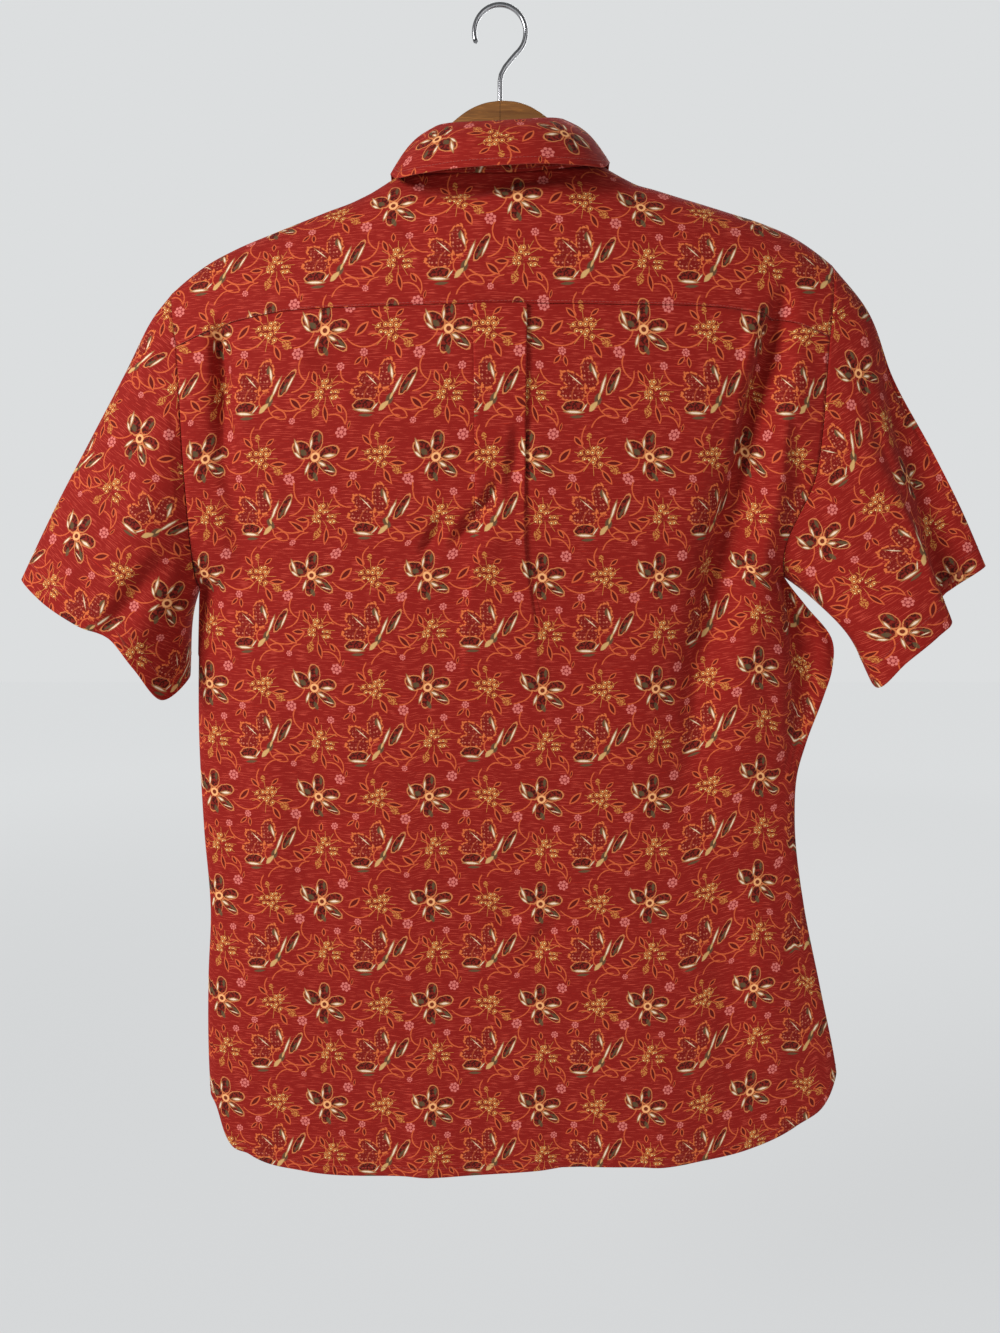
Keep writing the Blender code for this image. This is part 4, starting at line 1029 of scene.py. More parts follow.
def yoke_map(t, q, points):
    """Flat place of the yoke's points: straight across, and down over the shoulder to the back seam."""
    seam = -q_at_height(t, along(BACK_SEAM, t))
    length = np.zeros(t.shape)
    before = both_faces(t, seam)
    for share in np.linspace(0, 1, 25)[1:]:
        here = both_faces(t, seam + (q - seam) * share)
        length += np.hypot(here[..., 1] - before[..., 1], here[..., 2] - before[..., 2])
        before = here
    down = BACK_SEAM_MIDDLE - along(BACK_SEAM, t) - np.sign(q - seam) * length
    return np.stack([points[..., 0], down], axis=-1)


def front_points(side):
    """One front, side -1 or +1. Columns run from side seam to centre, rows from the top to the hem."""
    lap_angle = math.asin(FRONT_LAP / NECK_HALF_WIDTH)
    seam_share = np.linspace(0, 1, FRONT_SEAM_COLUMNS)
    neck_t, neck_q = neck_place(np.array([YOKE_END_ANGLE]))
    seam_t = (1 - EDGE_INSET) + (neck_t[0] - (1 - EDGE_INSET)) * seam_share
    seam_q = FRONT_SEAM_Q + (neck_q[0] - FRONT_SEAM_Q) * seam_share
    seam_height = torso(seam_t, seam_q, 1)[:, 2]
    seam_q = q_at_height(seam_t, seam_height - 2 * SEAM_GAP)
    angles = np.linspace(YOKE_END_ANGLE, math.pi + lap_angle, FRONT_NECK_COLUMNS)[1:]
    collar_t, collar_q = neck_place(angles)
    top_t = np.concatenate([seam_t, collar_t]) * side
    top_q = np.concatenate([seam_q, collar_q])
    end_t = -FRONT_LAP / HEM_HALF_WIDTH
    low_t = (1 - EDGE_INSET - (1 - EDGE_INSET - end_t) * np.linspace(0, 1, len(top_t))) * side
    hem_q = 1 + (CAP_END_Z + CAP_END_TILT * low_t - along(HEM, np.sin(low_t * math.pi / 2))) / DROP_PER_Q
    upper = np.linspace(0, 1, BACK_UPPER_ROWS)[:, None]
    lower = np.linspace(0, 1, BACK_LOWER_ROWS)[1:, None]
    q = np.concatenate([top_q + (UNDERARM_Q - top_q) * upper, UNDERARM_Q + (hem_q - UNDERARM_Q) * lower])
    share = np.concatenate([upper, np.ones((len(lower), 1))])
    t = top_t + (low_t - top_t) * ease(0, 1, share)
    points = torso(t, q, 1)
    lap = ease(-LAP_BLEND, 0.0, -side * points[..., 0])
    points[..., 1] -= side * LAP_STEP * lap
    side_seam_band(points[len(upper) - 1:], 0, 1, 1)
    return points, cloth_map(points, points.shape[1] - 1, -0.19)


def sleeve_points(side, cuff, top_line, under_line):
    """Columns run round the sleeve from underarm over front, top and back, rows from armhole to cuff."""
    degrees = np.linspace(180, 540, SLEEVE_COLUMNS)
    turn = np.radians(degrees)
    middle, reach = armhole_span(side)
    height = middle + reach * np.cos(turn)
    t = np.full(SLEEVE_COLUMNS, float(side))
    q = q_at_height(t, height)
    q = np.where(np.cos(turn) > 0.999999, 0.0, np.minimum(q, UNDERARM_Q))
    start = np.where((degrees >= 360)[:, None], torso(t, q, -1), torso(t, q, 1))
    start[:, 0] += side * SEAM_GAP * 0.5
    end = around(cuff, degrees)
    share = np.linspace(0, 1, SLEEVE_ROWS)[:, None]
    points = start + (end - start) * share[..., None]
    upper_pull = ((1 + np.cos(turn)) / 2)[None, :, None] ** 1.5
    under_pull = ((1 - np.cos(turn)) / 2)[None, :, None] ** 1.5
    for line, pull, column in ((top_line, upper_pull, SLEEVE_COLUMNS // 2), (under_line, under_pull, 0)):
        wanted = along(line, share[:, 0])
        chord = points[:, column, :][:, [0, 2]]
        shift = (wanted - chord) - (wanted - chord)[0] * (1 - share) - (wanted - chord)[-1] * share
        move = np.zeros((SLEEVE_ROWS, 1, 3))
        move[:, 0, 0], move[:, 0, 2] = shift[:, 0], shift[:, 1]
        points = points + move * pull
    face = np.where(np.sin(turn) > 0, -1.0, 1.0)
    edge = np.minimum(share * 9, 1) * np.abs(np.sin(turn)) ** 0.5
    for which in (-1, 1):
        height = crease_height(SLEEVE_CREASES[side, which], points[..., 0], points[..., 2])
        points[..., 1] += np.where(face == which, which * height * edge, 0.0)
    return points, sleeve_map(points, side)


def sleeve_map(points, side):
    """Flat place of a sleeve's points: round it from its top line, and down along its grain."""
    lean = math.radians(SLEEVE_GRAIN[side])
    down_line = np.array([side * math.sin(lean), -math.cos(lean)])
    cross_line = np.array([math.cos(lean), side * math.sin(lean)])
    plane = points[..., [0, 2]] - points[0, SLEEVE_COLUMNS // 2, [0, 2]]
    down = plane @ down_line
    across = plane @ cross_line
    middle = SLEEVE_COLUMNS // 2
    steps = np.zeros(across.shape)
    steps[:, 1:] = np.hypot(np.diff(across, axis=1), np.diff(points[..., 1], axis=1))
    length = np.cumsum(steps, axis=1)
    length -= length[:, middle][:, None]
    round_it = across[:, middle][:, None] - side * length
    return np.stack([round_it, down], axis=-1)


def stand_top(angle):
    """Upper edge of the collar stand, at an angle from the centre back."""
    cosine = np.cos(angle)
    x = STAND_TOP_HALF_WIDTH * np.sin(angle)
    y = np.where(cosine > 0, STAND_TOP_BACK_Y * cosine, -STAND_TOP_FRONT_Y * cosine)
    z = STAND_TOP_SIDE_Z - np.where(cosine > 0, STAND_BACK_DROP, STAND_FRONT_DROP) * cosine**2
    return np.stack([x, y, z + COLLAR_TILT * x], axis=-1)


def lap_offset(angle):
    """Outward shift at the centre front, where the left end lies over the right one."""
    return LAP_STEP * ease(LAP_FROM_ANGLE, LAP_FULL_ANGLE, np.abs(angle)) * -np.sign(angle)


def strip_map(points):
    """Flat place of a collar piece: round the neck from the centre back, and down from its first row."""
    around_it = np.linalg.norm(np.diff(points, axis=1), axis=-1).mean(axis=0)
    across = np.concatenate([[0.0], np.cumsum(around_it)])
    across -= across[len(across) // 2]
    down = np.zeros(points.shape[:2])
    down[1:] = np.cumsum(np.linalg.norm(np.diff(points, axis=0), axis=-1), axis=0)
    return np.stack([np.broadcast_to(across, down.shape), down], axis=-1)


def stand_points():
    """Columns run round the neck from the left front end to the right, rows from the seam up."""
    lap_angle = math.asin(FRONT_LAP / NECK_HALF_WIDTH)
    angles = np.linspace(-math.pi - lap_angle, math.pi + lap_angle, COLLAR_COLUMNS)
    t, q = neck_place(angles)
    foot = both_faces(t, q)
    head = stand_top(angles)
    rise = head - foot
    foot = foot + rise / np.linalg.norm(rise, axis=1)[:, None] * SEAM_GAP
    share = np.linspace(0, 1, STAND_ROWS)[:, None, None]
    points = foot + (head - foot) * share
    bulge = np.sin(share * math.pi) * STAND_BULGE
    outward = np.stack([np.sin(angles), -np.cos(angles), np.zeros_like(angles)], axis=-1)
    points = points + bulge * outward
    points[..., 1] += lap_offset(angles)
    return points, strip_map(points)


def stand_frame(angles):
    """The stand's upper edge with its directions up the stand and out of it."""
    t, q = neck_place(angles)
    head = stand_top(angles)
    up = head - both_faces(t, q)
    run = stand_top(angles + 0.01) - stand_top(angles - 0.01)
    run /= np.linalg.norm(run, axis=1)[:, None]
    up -= run * (up * run).sum(axis=1)[:, None]
    up /= np.linalg.norm(up, axis=1)[:, None]
    head[:, 1] += lap_offset(angles)
    return head, up, np.cross(run, up)


def leaf_points():
    """Columns run round the neck, rows from the roll over the stand to the free edge."""
    angles = np.linspace(-LEAF_END_ANGLE, LEAF_END_ANGLE, COLLAR_COLUMNS)
    head, up, out = stand_frame(angles)
    edge = along(LEAF_EDGE, np.degrees(np.abs(angles)))
    edge[:, 0] *= np.sign(angles)
    edge[:, 2] += COLLAR_TILT * edge[:, 0]
    roll = [(index, *row) for index, row in enumerate(LEAF_ROLL)]
    rows = [head + out * away + up * high for away, high in along(roll, np.linspace(0, len(roll) - 1, 7))]
    start = rows[-1]
    for share in np.linspace(0, 1, LEAF_ROWS)[1:]:
        bow = LEAF_BOW * math.sin(share * math.pi)
        rows.append(start + (edge - start) * share + (out + up) * bow)
    points = np.array(rows)
    return points, strip_map(points)


def surface_normals(points):
    """Unit directions square to a grid's surface."""
    across = np.gradient(points, axis=1)
    down = np.gradient(points, axis=0)
    square = np.cross(across, down)
    return square / np.maximum(np.linalg.norm(square, axis=-1), 1e-12)[..., None]


def outward_normals(points, centre):
    """Surface directions, turned so that they point away from a centre."""
    square = surface_normals(points)
    away = points - np.asarray(centre)
    if (square * away).sum(axis=-1).mean() < 0:
        square = -square
    return square


def turned_hem(points, flat, outward):
    """Adds the rows that turn the last edge inwards and up, as a sewn hem lies inside."""
    end, up_step = points[-1], points[-1] - points[-2]
    down = up_step / np.maximum(np.linalg.norm(up_step, axis=1), 1e-9)[:, None]
    inward = -outward[-1]
    rows, flats = [points], [flat]
    for deep, drop, run in HEM_STEPS:
        rows.append((end + (inward * deep + down * drop) * HEM_FOLD)[None])
        flats.append((flat[-1] + np.array([0.0, run]))[None])
    return np.concatenate(rows), np.concatenate(flats)


def tucked_edge(points, flat, outward, share=1.0):
    """Adds rows before the first one that lie under the neighbouring piece, as a seam's allowance does."""
    share = np.broadcast_to(share, (points.shape[1],))[:, None]
    start = points[0]
    run = start - points[1]
    run /= np.maximum(np.linalg.norm(run, axis=1), 1e-9)[:, None]
    flat_run = flat[0] - flat[1]
    flat_run /= np.maximum(np.linalg.norm(flat_run, axis=1), 1e-9)[:, None]
    rows, flats = [points], [flat]
    for reach, deep in TUCK_STEPS:
        rows.insert(0, (start + (run * reach - outward[0] * deep) * share)[None])
        flats.insert(0, (flat[0] + flat_run * reach * share)[None])
    return np.concatenate(rows), np.concatenate(flats)


def add_cloth(name, points, flat, centre, materials):
    """A grid of points as thin cloth, with its flat place kept for the print."""
    rows, columns = points.shape[:2]
    outward = outward_normals(points, centre)
    index = np.arange(rows * columns).reshape(rows, columns)
    quads = np.stack([index[:-1, :-1], index[:-1, 1:], index[1:, 1:], index[1:, :-1]], axis=-1).reshape(-1, 4)
    first = points.reshape(-1, 3)[quads[:, 1]] - points.reshape(-1, 3)[quads[:, 0]]
    second = points.reshape(-1, 3)[quads[:, 3]] - points.reshape(-1, 3)[quads[:, 0]]
    if (np.cross(first, second) * outward.reshape(-1, 3)[quads[:, 0]]).sum() < 0:
        quads = quads[:, ::-1]
    mesh = bpy.data.meshes.new(name)
    mesh.from_pydata(points.reshape(-1, 3).tolist(), [], quads.tolist())
    layer = mesh.uv_layers.new(name="cloth")
    layer.data.foreach_set("uv", flat.reshape(-1, 2)[quads.reshape(-1)].astype(np.float32).ravel())
    mesh.shade_smooth()
    for material in materials:
        mesh.materials.append(material)
    piece = bpy.data.objects.new(name, mesh)
    bpy.context.scene.collection.objects.link(piece)
    wall = piece.modifiers.new("wall", "SOLIDIFY")
    wall.thickness = CLOTH
    wall.offset = -1.0
    wall.material_offset = 1
    wall.material_offset_rim = 1
    return piece


def flat_size(points, flat):
    """Width, length and area of the cut that a grid was laid from."""
    width = float(flat[..., 0].max() - flat[..., 0].min())
    length = float(flat[..., 1].max() - flat[..., 1].min())
    a, b, c = points[:-1, :-1], points[:-1, 1:], points[1:, :-1]
    d = points[1:, 1:]
    one_half = np.linalg.norm(np.cross(b - a, c - a), axis=-1)
    other_half = np.linalg.norm(np.cross(b - d, c - d), axis=-1)
    return width, length, float(((one_half + other_half) / 2).sum())


def add_mesh(name, verts, faces, material, smooth=True):
    mesh = bpy.data.meshes.new(name)
    mesh.from_pydata([tuple(v) for v in verts], [], faces)
    if smooth:
        mesh.shade_smooth()
    mesh.materials.append(material)
    piece = bpy.data.objects.new(name, mesh)
    bpy.context.scene.collection.objects.link(piece)
    return piece


def ring_faces(base, rings, count):
    """Faces between closed rings of count points each, the first one at base."""
    faces = []
    for ring in range(rings - 1):
        low, high = base + ring * count, base + (ring + 1) * count
        for index in range(count):
            beside = (index + 1) % count
            faces.append((low + index, low + beside, high + beside, high + index))
    return faces


def spaced(line, pitch):
    """Places along a polyline, one to each pitch, as numbers between its points."""
    steps = np.linalg.norm(np.diff(line, axis=0), axis=1)
    length = np.concatenate([[0.0], np.cumsum(steps)])
    count = max(int(length[-1] / pitch), 2)
    return np.interp((np.arange(count) + 0.5) * length[-1] / count, length, np.arange(len(line)))


def at(line, places):
    """Reads a polyline at places between its points."""
    low = np.clip(places.astype(int), 0, len(line) - 2)
    share = (places - low)[:, None]
    return line[low] * (1 - share) + line[low + 1] * share


def stitches(name, runs, material):
    """Rows of thread stitches. Each run is a polyline on the cloth and its outward directions."""
    verts, faces = [], []
    for line, outward in runs:
        places = spaced(line, STITCH_PITCH)
        middle, square = at(line, places), at(outward, places)
        forward = at(line, np.minimum(places + 0.2, len(line) - 1)) - at(line, np.maximum(places - 0.2, 0))
        forward /= np.maximum(np.linalg.norm(forward, axis=1), 1e-9)[:, None]
        side = np.cross(forward, square)
        side /= np.maximum(np.linalg.norm(side, axis=1), 1e-9)[:, None]
        for point, ahead, beside, above in zip(middle, forward, side, square):
            base = len(verts)
            for share, lift, fat in STITCH_SECTIONS:
                centre = point + ahead * STITCH_LENGTH * share + above * STITCH_RADIUS * lift
                reach = STITCH_RADIUS * fat
                verts += [centre + beside * reach, centre + above * reach, centre - beside * reach]
            for ring in range(3):
                for edge in range(2):
                    a = base + ring * 3 + edge
                    faces.append((a, a + 1, a + 4, a + 3))
    return add_mesh(name, verts, faces, material)


def at_distance(points, outward, distance, axis=0, from_end=True):
    """A line across the grid that keeps one distance from its last or first edge, on its surface."""
    grid = points if axis == 0 else points.transpose(1, 0, 2)
    square = outward if axis == 0 else outward.transpose(1, 0, 2)
    if from_end:
        grid, square = grid[::-1], square[::-1]
    steps = np.linalg.norm(np.diff(grid, axis=0), axis=-1)
    length = np.concatenate([np.zeros((1, grid.shape[1])), np.cumsum(steps, axis=0)])
    line, normals = [], []
    for column in range(grid.shape[1]):
        place = np.array([np.interp(distance, length[:, column], np.arange(len(grid)))])
        line.append(at(grid[:, column], place)[0])
        normals.append(at(square[:, column], place)[0])
    return np.array(line), np.array(normals)


def finish_piece(piece, node):
    """Hides the solid the piece stands for, if any, and attaches the piece to the one body."""
    if node:
        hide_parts(node)
    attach(piece, "root")
    return piece


def hanger_top(x):
    """Upper edge of the wood: the crown stands in the neck, and the arms run under the yoke."""
    width = abs(x)
    under_cloth = float(ridge(np.array(x))) - WALL - HANGER_GAP
    crown = float(along(CROWN_TOP, np.array(width))) + SHOULDER_TILT * x
    blend = float(ease(*CROWN_BLEND, width))
    return crown + (under_cloth - crown) * blend


def add_hanger_half(name, side, material):
    """One wooden arm: a plate with a shallow bevelled border and a rounded edge."""
    inner = SEAM_GAP / 2
    places = [inner] + list(np.linspace(ARM_TIP_RUN, HANGER_END_X - ARM_TIP_RUN, ARM_STEPS))
    upper = [(side * x, hanger_top(side * x)) for x in places]
    lower = [(x, z - float(along(ARM_DEPTH, np.array(abs(x))))) for x, z in upper]
    tip_x, tip_z = upper[-1]
    tip_depth = float(along(ARM_DEPTH, np.array(HANGER_END_X)))
    tip = [(side * HANGER_END_X, tip_z - tip_depth * share) for share in ARM_TIP_SHARES]
    outline = np.array(upper + tip + lower[::-1])
    centre_line = [(x, (a + b) / 2) for (x, a), (_, b) in zip(upper, lower)]
    around_it = np.array(centre_line + [centre_line[-1]] * 2 + centre_line[::-1])
    inward = around_it - outline
    inward /= np.maximum(np.linalg.norm(inward, axis=1), 1e-9)[:, None]
    inward[0] = inward[-1] = (0, 0)
    inward[0][1], inward[-1][1] = -1, 1
    half = HANGER_HALF_THICKNESS
    profile = [(inset, deep - half) for inset, deep in WOOD_BORDER]
    profile += [(inset, half - deep) for inset, deep in WOOD_BORDER[::-1]]
    verts, faces = [], []
    count = len(outline)
    for inset, y in profile:
        for (x, z), (dx, dz) in zip(outline, inward):
            verts.append((x + dx * inset, y, z + dz * inset))
    faces += ring_faces(0, len(profile), count)
    for ring in (0, len(profile) - 1):
        base = ring * count
        for index in range(len(places) - 1):
            faces.append((base + index, base + index + 1, base + count - 2 - index, base + count - 1 - index))
        last = len(places) - 1
        faces.append((base + last, base + last + 1, base + last + 2, base + last + 3))
    piece = add_mesh(name, verts, faces, material, smooth=False)
    fix = bmesh.new()
    fix.from_mesh(piece.data)
    bmesh.ops.recalc_face_normals(fix, faces=fix.faces)
    fix.to_mesh(piece.data)
    fix.free()
    piece.data.shade_smooth()
    piece.data.set_sharp_from_angle(angle=math.radians(28))
    return piece


def add_hook(material):
    """Bent wire: a straight stem, a bend to the side and the round hook."""
    centre_z = HOOK_WIRE_RADIUS - HOOK_BEND_RADIUS
    stem_bottom = HOOK_BASE_Z - HOOK_HOLE_DEPTH + 2 * SEAM_GAP
    path = [(0.0, stem_bottom), *HOOK_BEND]
    for degrees in HOOK_STEPS:
        turn = math.radians(degrees)
        path.append((HOOK_BEND_RADIUS * math.cos(turn), centre_z + HOOK_BEND_RADIUS * math.sin(turn)))
    verts, faces = [], []
    sides = HOOK_SIDES
    line = np.array([(x, 0.0, z) for x, z in path])
    run = np.gradient(line, axis=0)
    run /= np.linalg.norm(run, axis=1)[:, None]
    for point, forward in zip(line, run):
        side = np.cross(forward, (0.0, 1.0, 0.0))
        for index in range(sides):
            turn = 2 * math.pi * index / sides
            away = math.cos(turn) * side + math.sin(turn) * np.array([0.0, 1.0, 0.0])
            verts.append(point + HOOK_WIRE_RADIUS * away)
    faces += ring_faces(0, len(line), sides)
    foot, tip = line[0] - run[0] * HOOK_FOOT_DOME, line[-1] + run[-1] * HOOK_TIP_DOME
    for ring, point, sign in ((0, foot, 1), (len(line) - 1, tip, -1)):
        verts.append(point)
        for index in range(sides):
            faces.append((ring * sides + index, ring * sides + (index + 1) % sides, len(verts) - 1)[::sign])
    return add_mesh("hanger_hook_wire", verts, faces, material)


def front_surface(z):
    """A point on the left front's centre line and the direction straight out of it."""
    t = np.zeros(3)
    q = q_at_height(t, np.array([z + 0.004, z, z - 0.004]))
    points = torso(t, q, 1)
    points[:, 1] += LAP_STEP
    slope = points[0] - points[2]
    outward = np.array([0.0, slope[2], -slope[1]])
    return points[1], outward / np.linalg.norm(outward)


def button_mesh(material):
    """A turned disc with a rounded rim, a dished middle and four drilled holes."""
    turned = bmesh.new()
    verts = [turned.verts.new((radius, 0.0, height)) for radius, height in BUTTON_PROFILE]
    edges = [turned.edges.new(pair) for pair in zip(verts[:-1], verts[1:])]
    bmesh.ops.spin(turned, geom=verts + edges, cent=(0, 0, 0), axis=(0, 0, 1),
                   angle=2 * math.pi, steps=48, use_duplicate=False)
    bmesh.ops.remove_doubles(turned, verts=turned.verts, dist=0.00001)
    bmesh.ops.recalc_face_normals(turned, faces=turned.faces)
    mesh = bpy.data.meshes.new("button_turned")
    turned.to_mesh(mesh)
    turned.free()
    mesh.materials.append(material)
    disc = bpy.data.objects.new("button_turned", mesh)
    bpy.context.scene.collection.objects.link(disc)
    drills = bmesh.new()
    for x, y in ((1, 1), (1, -1), (-1, 1), (-1, -1)):
        made = bmesh.ops.create_cone(drills, cap_ends=True, segments=16, radius1=BUTTON_HOLE_RADIUS,
                                     radius2=BUTTON_HOLE_RADIUS, depth=DRILL_LENGTH)
        place = (x * BUTTON_HOLE_PLACE, y * BUTTON_HOLE_PLACE, 0)
        bmesh.ops.translate(drills, verts=made["verts"], vec=place)
    cutter_mesh = bpy.data.meshes.new("button_drills")
    drills.to_mesh(cutter_mesh)
    drills.free()
    cutter = bpy.data.objects.new("button_drills", cutter_mesh)
    bpy.context.scene.collection.objects.link(cutter)
    cut = disc.modifiers.new("holes", "BOOLEAN")
    cut.operation = "DIFFERENCE"
    cut.object = cutter
    bpy.context.view_layer.update()
    done = bpy.data.meshes.new_from_object(disc.evaluated_get(bpy.context.evaluated_depsgraph_get()))
    bpy.data.objects.remove(disc)
    bpy.data.objects.remove(cutter)
    done.shade_smooth()
    done.set_sharp_from_angle(angle=math.radians(40))
    return done


def add_buttons(resin, thread):
    """A row down the centre front and one on the stand, each sewn on with crossed threads."""
    mesh = button_mesh(resin)
    places = [front_surface(FIRST_BUTTON_Z - BUTTON_PITCH * index) for index in range(BUTTON_COUNT)]
    stand = stand_points()[0]
    stand = stand[:, int(round(STAND_BUTTON_PLACE * (COLLAR_COLUMNS - 1)))]
    rise = stand[-1] - stand[0]
    outward = np.array([0.0, rise[2], -rise[1]])
    outward /= np.linalg.norm(outward)
    middle = stand[len(stand) // 2]
    places.insert(0, (np.array([0.0, middle[1] + STAND_BUTTON_GAP, middle[2]]), outward))
    threads = []
    for index, (point, direction) in enumerate(places):
        name = "button_collar" if index == 0 else f"button_{index}"
        piece = bpy.data.objects.new(name + "_turned", mesh)
        bpy.context.scene.collection.objects.link(piece)
        piece.location = point + direction * BUTTON_GAP
        piece.rotation_euler = (-math.atan2(direction[1], direction[2]), 0.0, 0.0)
        finish_piece(piece, name)
        up = np.cross((1.0, 0.0, 0.0), direction)
        side = np.array([1.0, 0.0, 0.0])
        for start, end in (((1, 1), (-1, -1)), ((1, -1), (-1, 1))):
            line = []
            for share in np.linspace(0, 1, 9):
                flat_x = (start[0] + (end[0] - start[0]) * share) * THREAD_REACH
                flat_y = (start[1] + (end[1] - start[1]) * share) * THREAD_REACH
                dip = THREAD_DIP if share in (0.0, 1.0) else 0.0
                high = THREAD_HEIGHT + THREAD_BOW * math.sin(share * math.pi) - dip
                line.append(point + side * flat_x + up * flat_y + direction * high)
            threads.append((np.array(line), THREAD_RADIUS))
    tube = add_tubes("button_thread", threads, thread)
    finish_piece(tube, None)


def add_tubes(name, lines, material, sides=6):
    """Round threads along polylines, each with its own radius, in one mesh."""
    verts, faces = [], []
    for line, radius in lines:
        run = np.gradient(line, axis=0)
        run /= np.maximum(np.linalg.norm(run, axis=1), 1e-9)[:, None]
        base = len(verts)
        for point, forward in zip(line, run):
            helper = (0.0, 0.0, 1.0) if abs(forward[2]) < 0.8 else (1.0, 0.0, 0.0)
            side = np.cross(forward, helper)
            side /= np.linalg.norm(side)
            other = np.cross(forward, side)
            for index in range(sides):
                turn = 2 * math.pi * index / sides
                verts.append(point + radius * (math.cos(turn) * side + math.sin(turn) * other))
        faces += ring_faces(base, len(line), sides)
    return add_mesh(name, verts, faces, material)


class Field:
    """A number or vector that a material works out. Arithmetic on it adds the nodes."""

    tree = None

    def __init__(self, socket):
        self.socket = socket

    @classmethod
    def node(cls, kind, **settings):
        made = cls.tree.nodes.new(kind)
        for key, value in settings.items():
            setattr(made, key, value)
        return made

    @classmethod
    def plug(cls, socket, value):
        if isinstance(value, Field):
            cls.tree.links.new(value.socket, socket)
        else:
            socket.default_value = value

    @classmethod
    def maths(cls, operation, *values, clamp=False):
        made = cls.node("ShaderNodeMath", operation=operation, use_clamp=clamp)
        for socket, value in zip(made.inputs, values):
            cls.plug(socket, value)
        return Field(made.outputs[0])

    def __add__(self, other):
        return Field.maths("ADD", self, other)

    def __sub__(self, other):
        return Field.maths("SUBTRACT", self, other)

    def __rsub__(self, other):
        return Field.maths("SUBTRACT", other, self)

    def __mul__(self, other):
        return Field.maths("MULTIPLY", self, other)

    def least(self, other):
        return Field.maths("MINIMUM", self, other)

    def most(self, other):
        return Field.maths("MAXIMUM", self, other)

    def size(self):
        return Field.maths("ABSOLUTE", self)

    def sine(self):
        return Field.maths("SINE", self)

    def power(self, share):
        return Field.maths("POWER", self, share)


def vector_maths(operation, *values):
    made = Field.node("ShaderNodeVectorMath", operation=operation)
    for socket, value in zip(made.inputs, values):
        Field.plug(socket, value)
    return Field(made.outputs["Value" if operation in ("LENGTH", "DOT_PRODUCT") else "Vector"])


def placed(frame, x, y, degrees, size_x, size_y):
    """The place along and across a shape, in shares of its half sizes. The third number of a frame is 1."""
    cosine, sine = math.cos(math.radians(degrees)), math.sin(math.radians(degrees))
    own_x, own_y = cosine * x - sine * y, sine * x + cosine * y
    along_it = vector_maths("DOT_PRODUCT", frame, (cosine / size_x, -sine / size_x, -own_x / size_x))
    across = vector_maths("DOT_PRODUCT", frame, (sine / size_y, cosine / size_y, -own_y / size_y))
    return along_it, across


def step_between(value, low, high):
    """1 where the value is under low, falling smoothly to 0 at high."""
    made = Field.node("ShaderNodeMapRange", interpolation_type="SMOOTHSTEP")
    Field.plug(made.inputs["Value"], value)
    made.inputs["From Min"].default_value = low
    made.inputs["From Max"].default_value = high
    made.inputs["To Min"].default_value = 1.0
    made.inputs["To Max"].default_value = 0.0
    return Field(made.outputs[0])


# The RGBA sockets of a Mix node share their names with its other types
def mix_colour(share, under, over):
    made = Field.node("ShaderNodeMix", data_type="RGBA")
    Field.plug(made.inputs[0], share)
    Field.plug(made.inputs[6], under)
    Field.plug(made.inputs[7], over)
    return Field(made.outputs[2])


def joined(shapes):
    """The nearest of several shapes."""
    nearest = shapes[0]
    for shape in shapes[1:]:
        nearest = nearest.least(shape)
    return nearest


def leaf_shape(frames, frame, x, y, degrees, length, width):
    """Under 1 inside a pointed leaf."""
    along_it, across = placed(frames[frame], x, y, degrees, length / 2, width)
    return along_it * along_it + across.size()


def distance(along_it, across):
    return (along_it * along_it + across * across).power(0.5)


def petal_shape(frames, frame, x, y, degrees, length, width):
    """Under 1 inside a rounded petal."""
    return distance(*placed(frames[frame], x, y, degrees, length / 2, width))


def stem_shape(frames, frame, x, y, degrees, radius, reach):
    """Distance from an arc, in shares of the repeat."""
    along_it, across = placed(frames[frame], x, y, degrees, radius, radius)
    line = (distance(along_it, across) - 1.0).size() * radius
    return line.most((reach - along_it) * 0.4)


def srgb(red, green, blue):
    """A colour measured on a picture, 0 to 255, as the renderer's linear one."""
    made = []
    for value in (red / 255, green / 255, blue / 255):
        made.append(value / 12.92 if value <= 0.04045 else ((value + 0.055) / 1.055) ** 2.4)
    return (*made, 1.0)


# Colours of the print, judged from the photograph's lit cloth
GROUND = srgb(176, 44, 27)
GROUND_DARK = srgb(140, 27, 20)
GROUND_PINK = srgb(190, 70, 54)
GROUND_DEEP = srgb(140, 24, 28)
OUTLINE = srgb(214, 108, 58)
OUTLINE_DIM = srgb(204, 92, 52)
LEAF_FILL = srgb(100, 20, 14)
PETAL_EDGE = srgb(206, 122, 72)
PETAL_FILL = srgb(70, 18, 12)
PETAL_STREAK = srgb(128, 34, 24)
PETAL_DOT = srgb(222, 132, 100)
OLIVE = srgb(92, 78, 52)
CREAM_SHADE = srgb(170, 118, 72)
BUD = srgb(208, 164, 104)
CREAM = srgb(240, 216, 190)
GOLD = srgb(222, 140, 72)
GOLD_BROWN = srgb(120, 44, 22)
CREAM_GOLD = srgb(250, 212, 140)
GOLD_DIM = srgb(200, 126, 62)
PINK = srgb(222, 122, 112)
RING = srgb(244, 176, 116)
INSIDE_TINT = srgb(170, 72, 58)


def noise_at(vector, scale, detail=2.0, roughness=0.5):
    made = Field.node("ShaderNodeTexNoise")
    made.inputs["Scale"].default_value = scale
    made.inputs["Detail"].default_value = detail
    made.inputs["Roughness"].default_value = roughness
    Field.plug(made.inputs["Vector"], vector)
    return Field(made.outputs["Fac"])


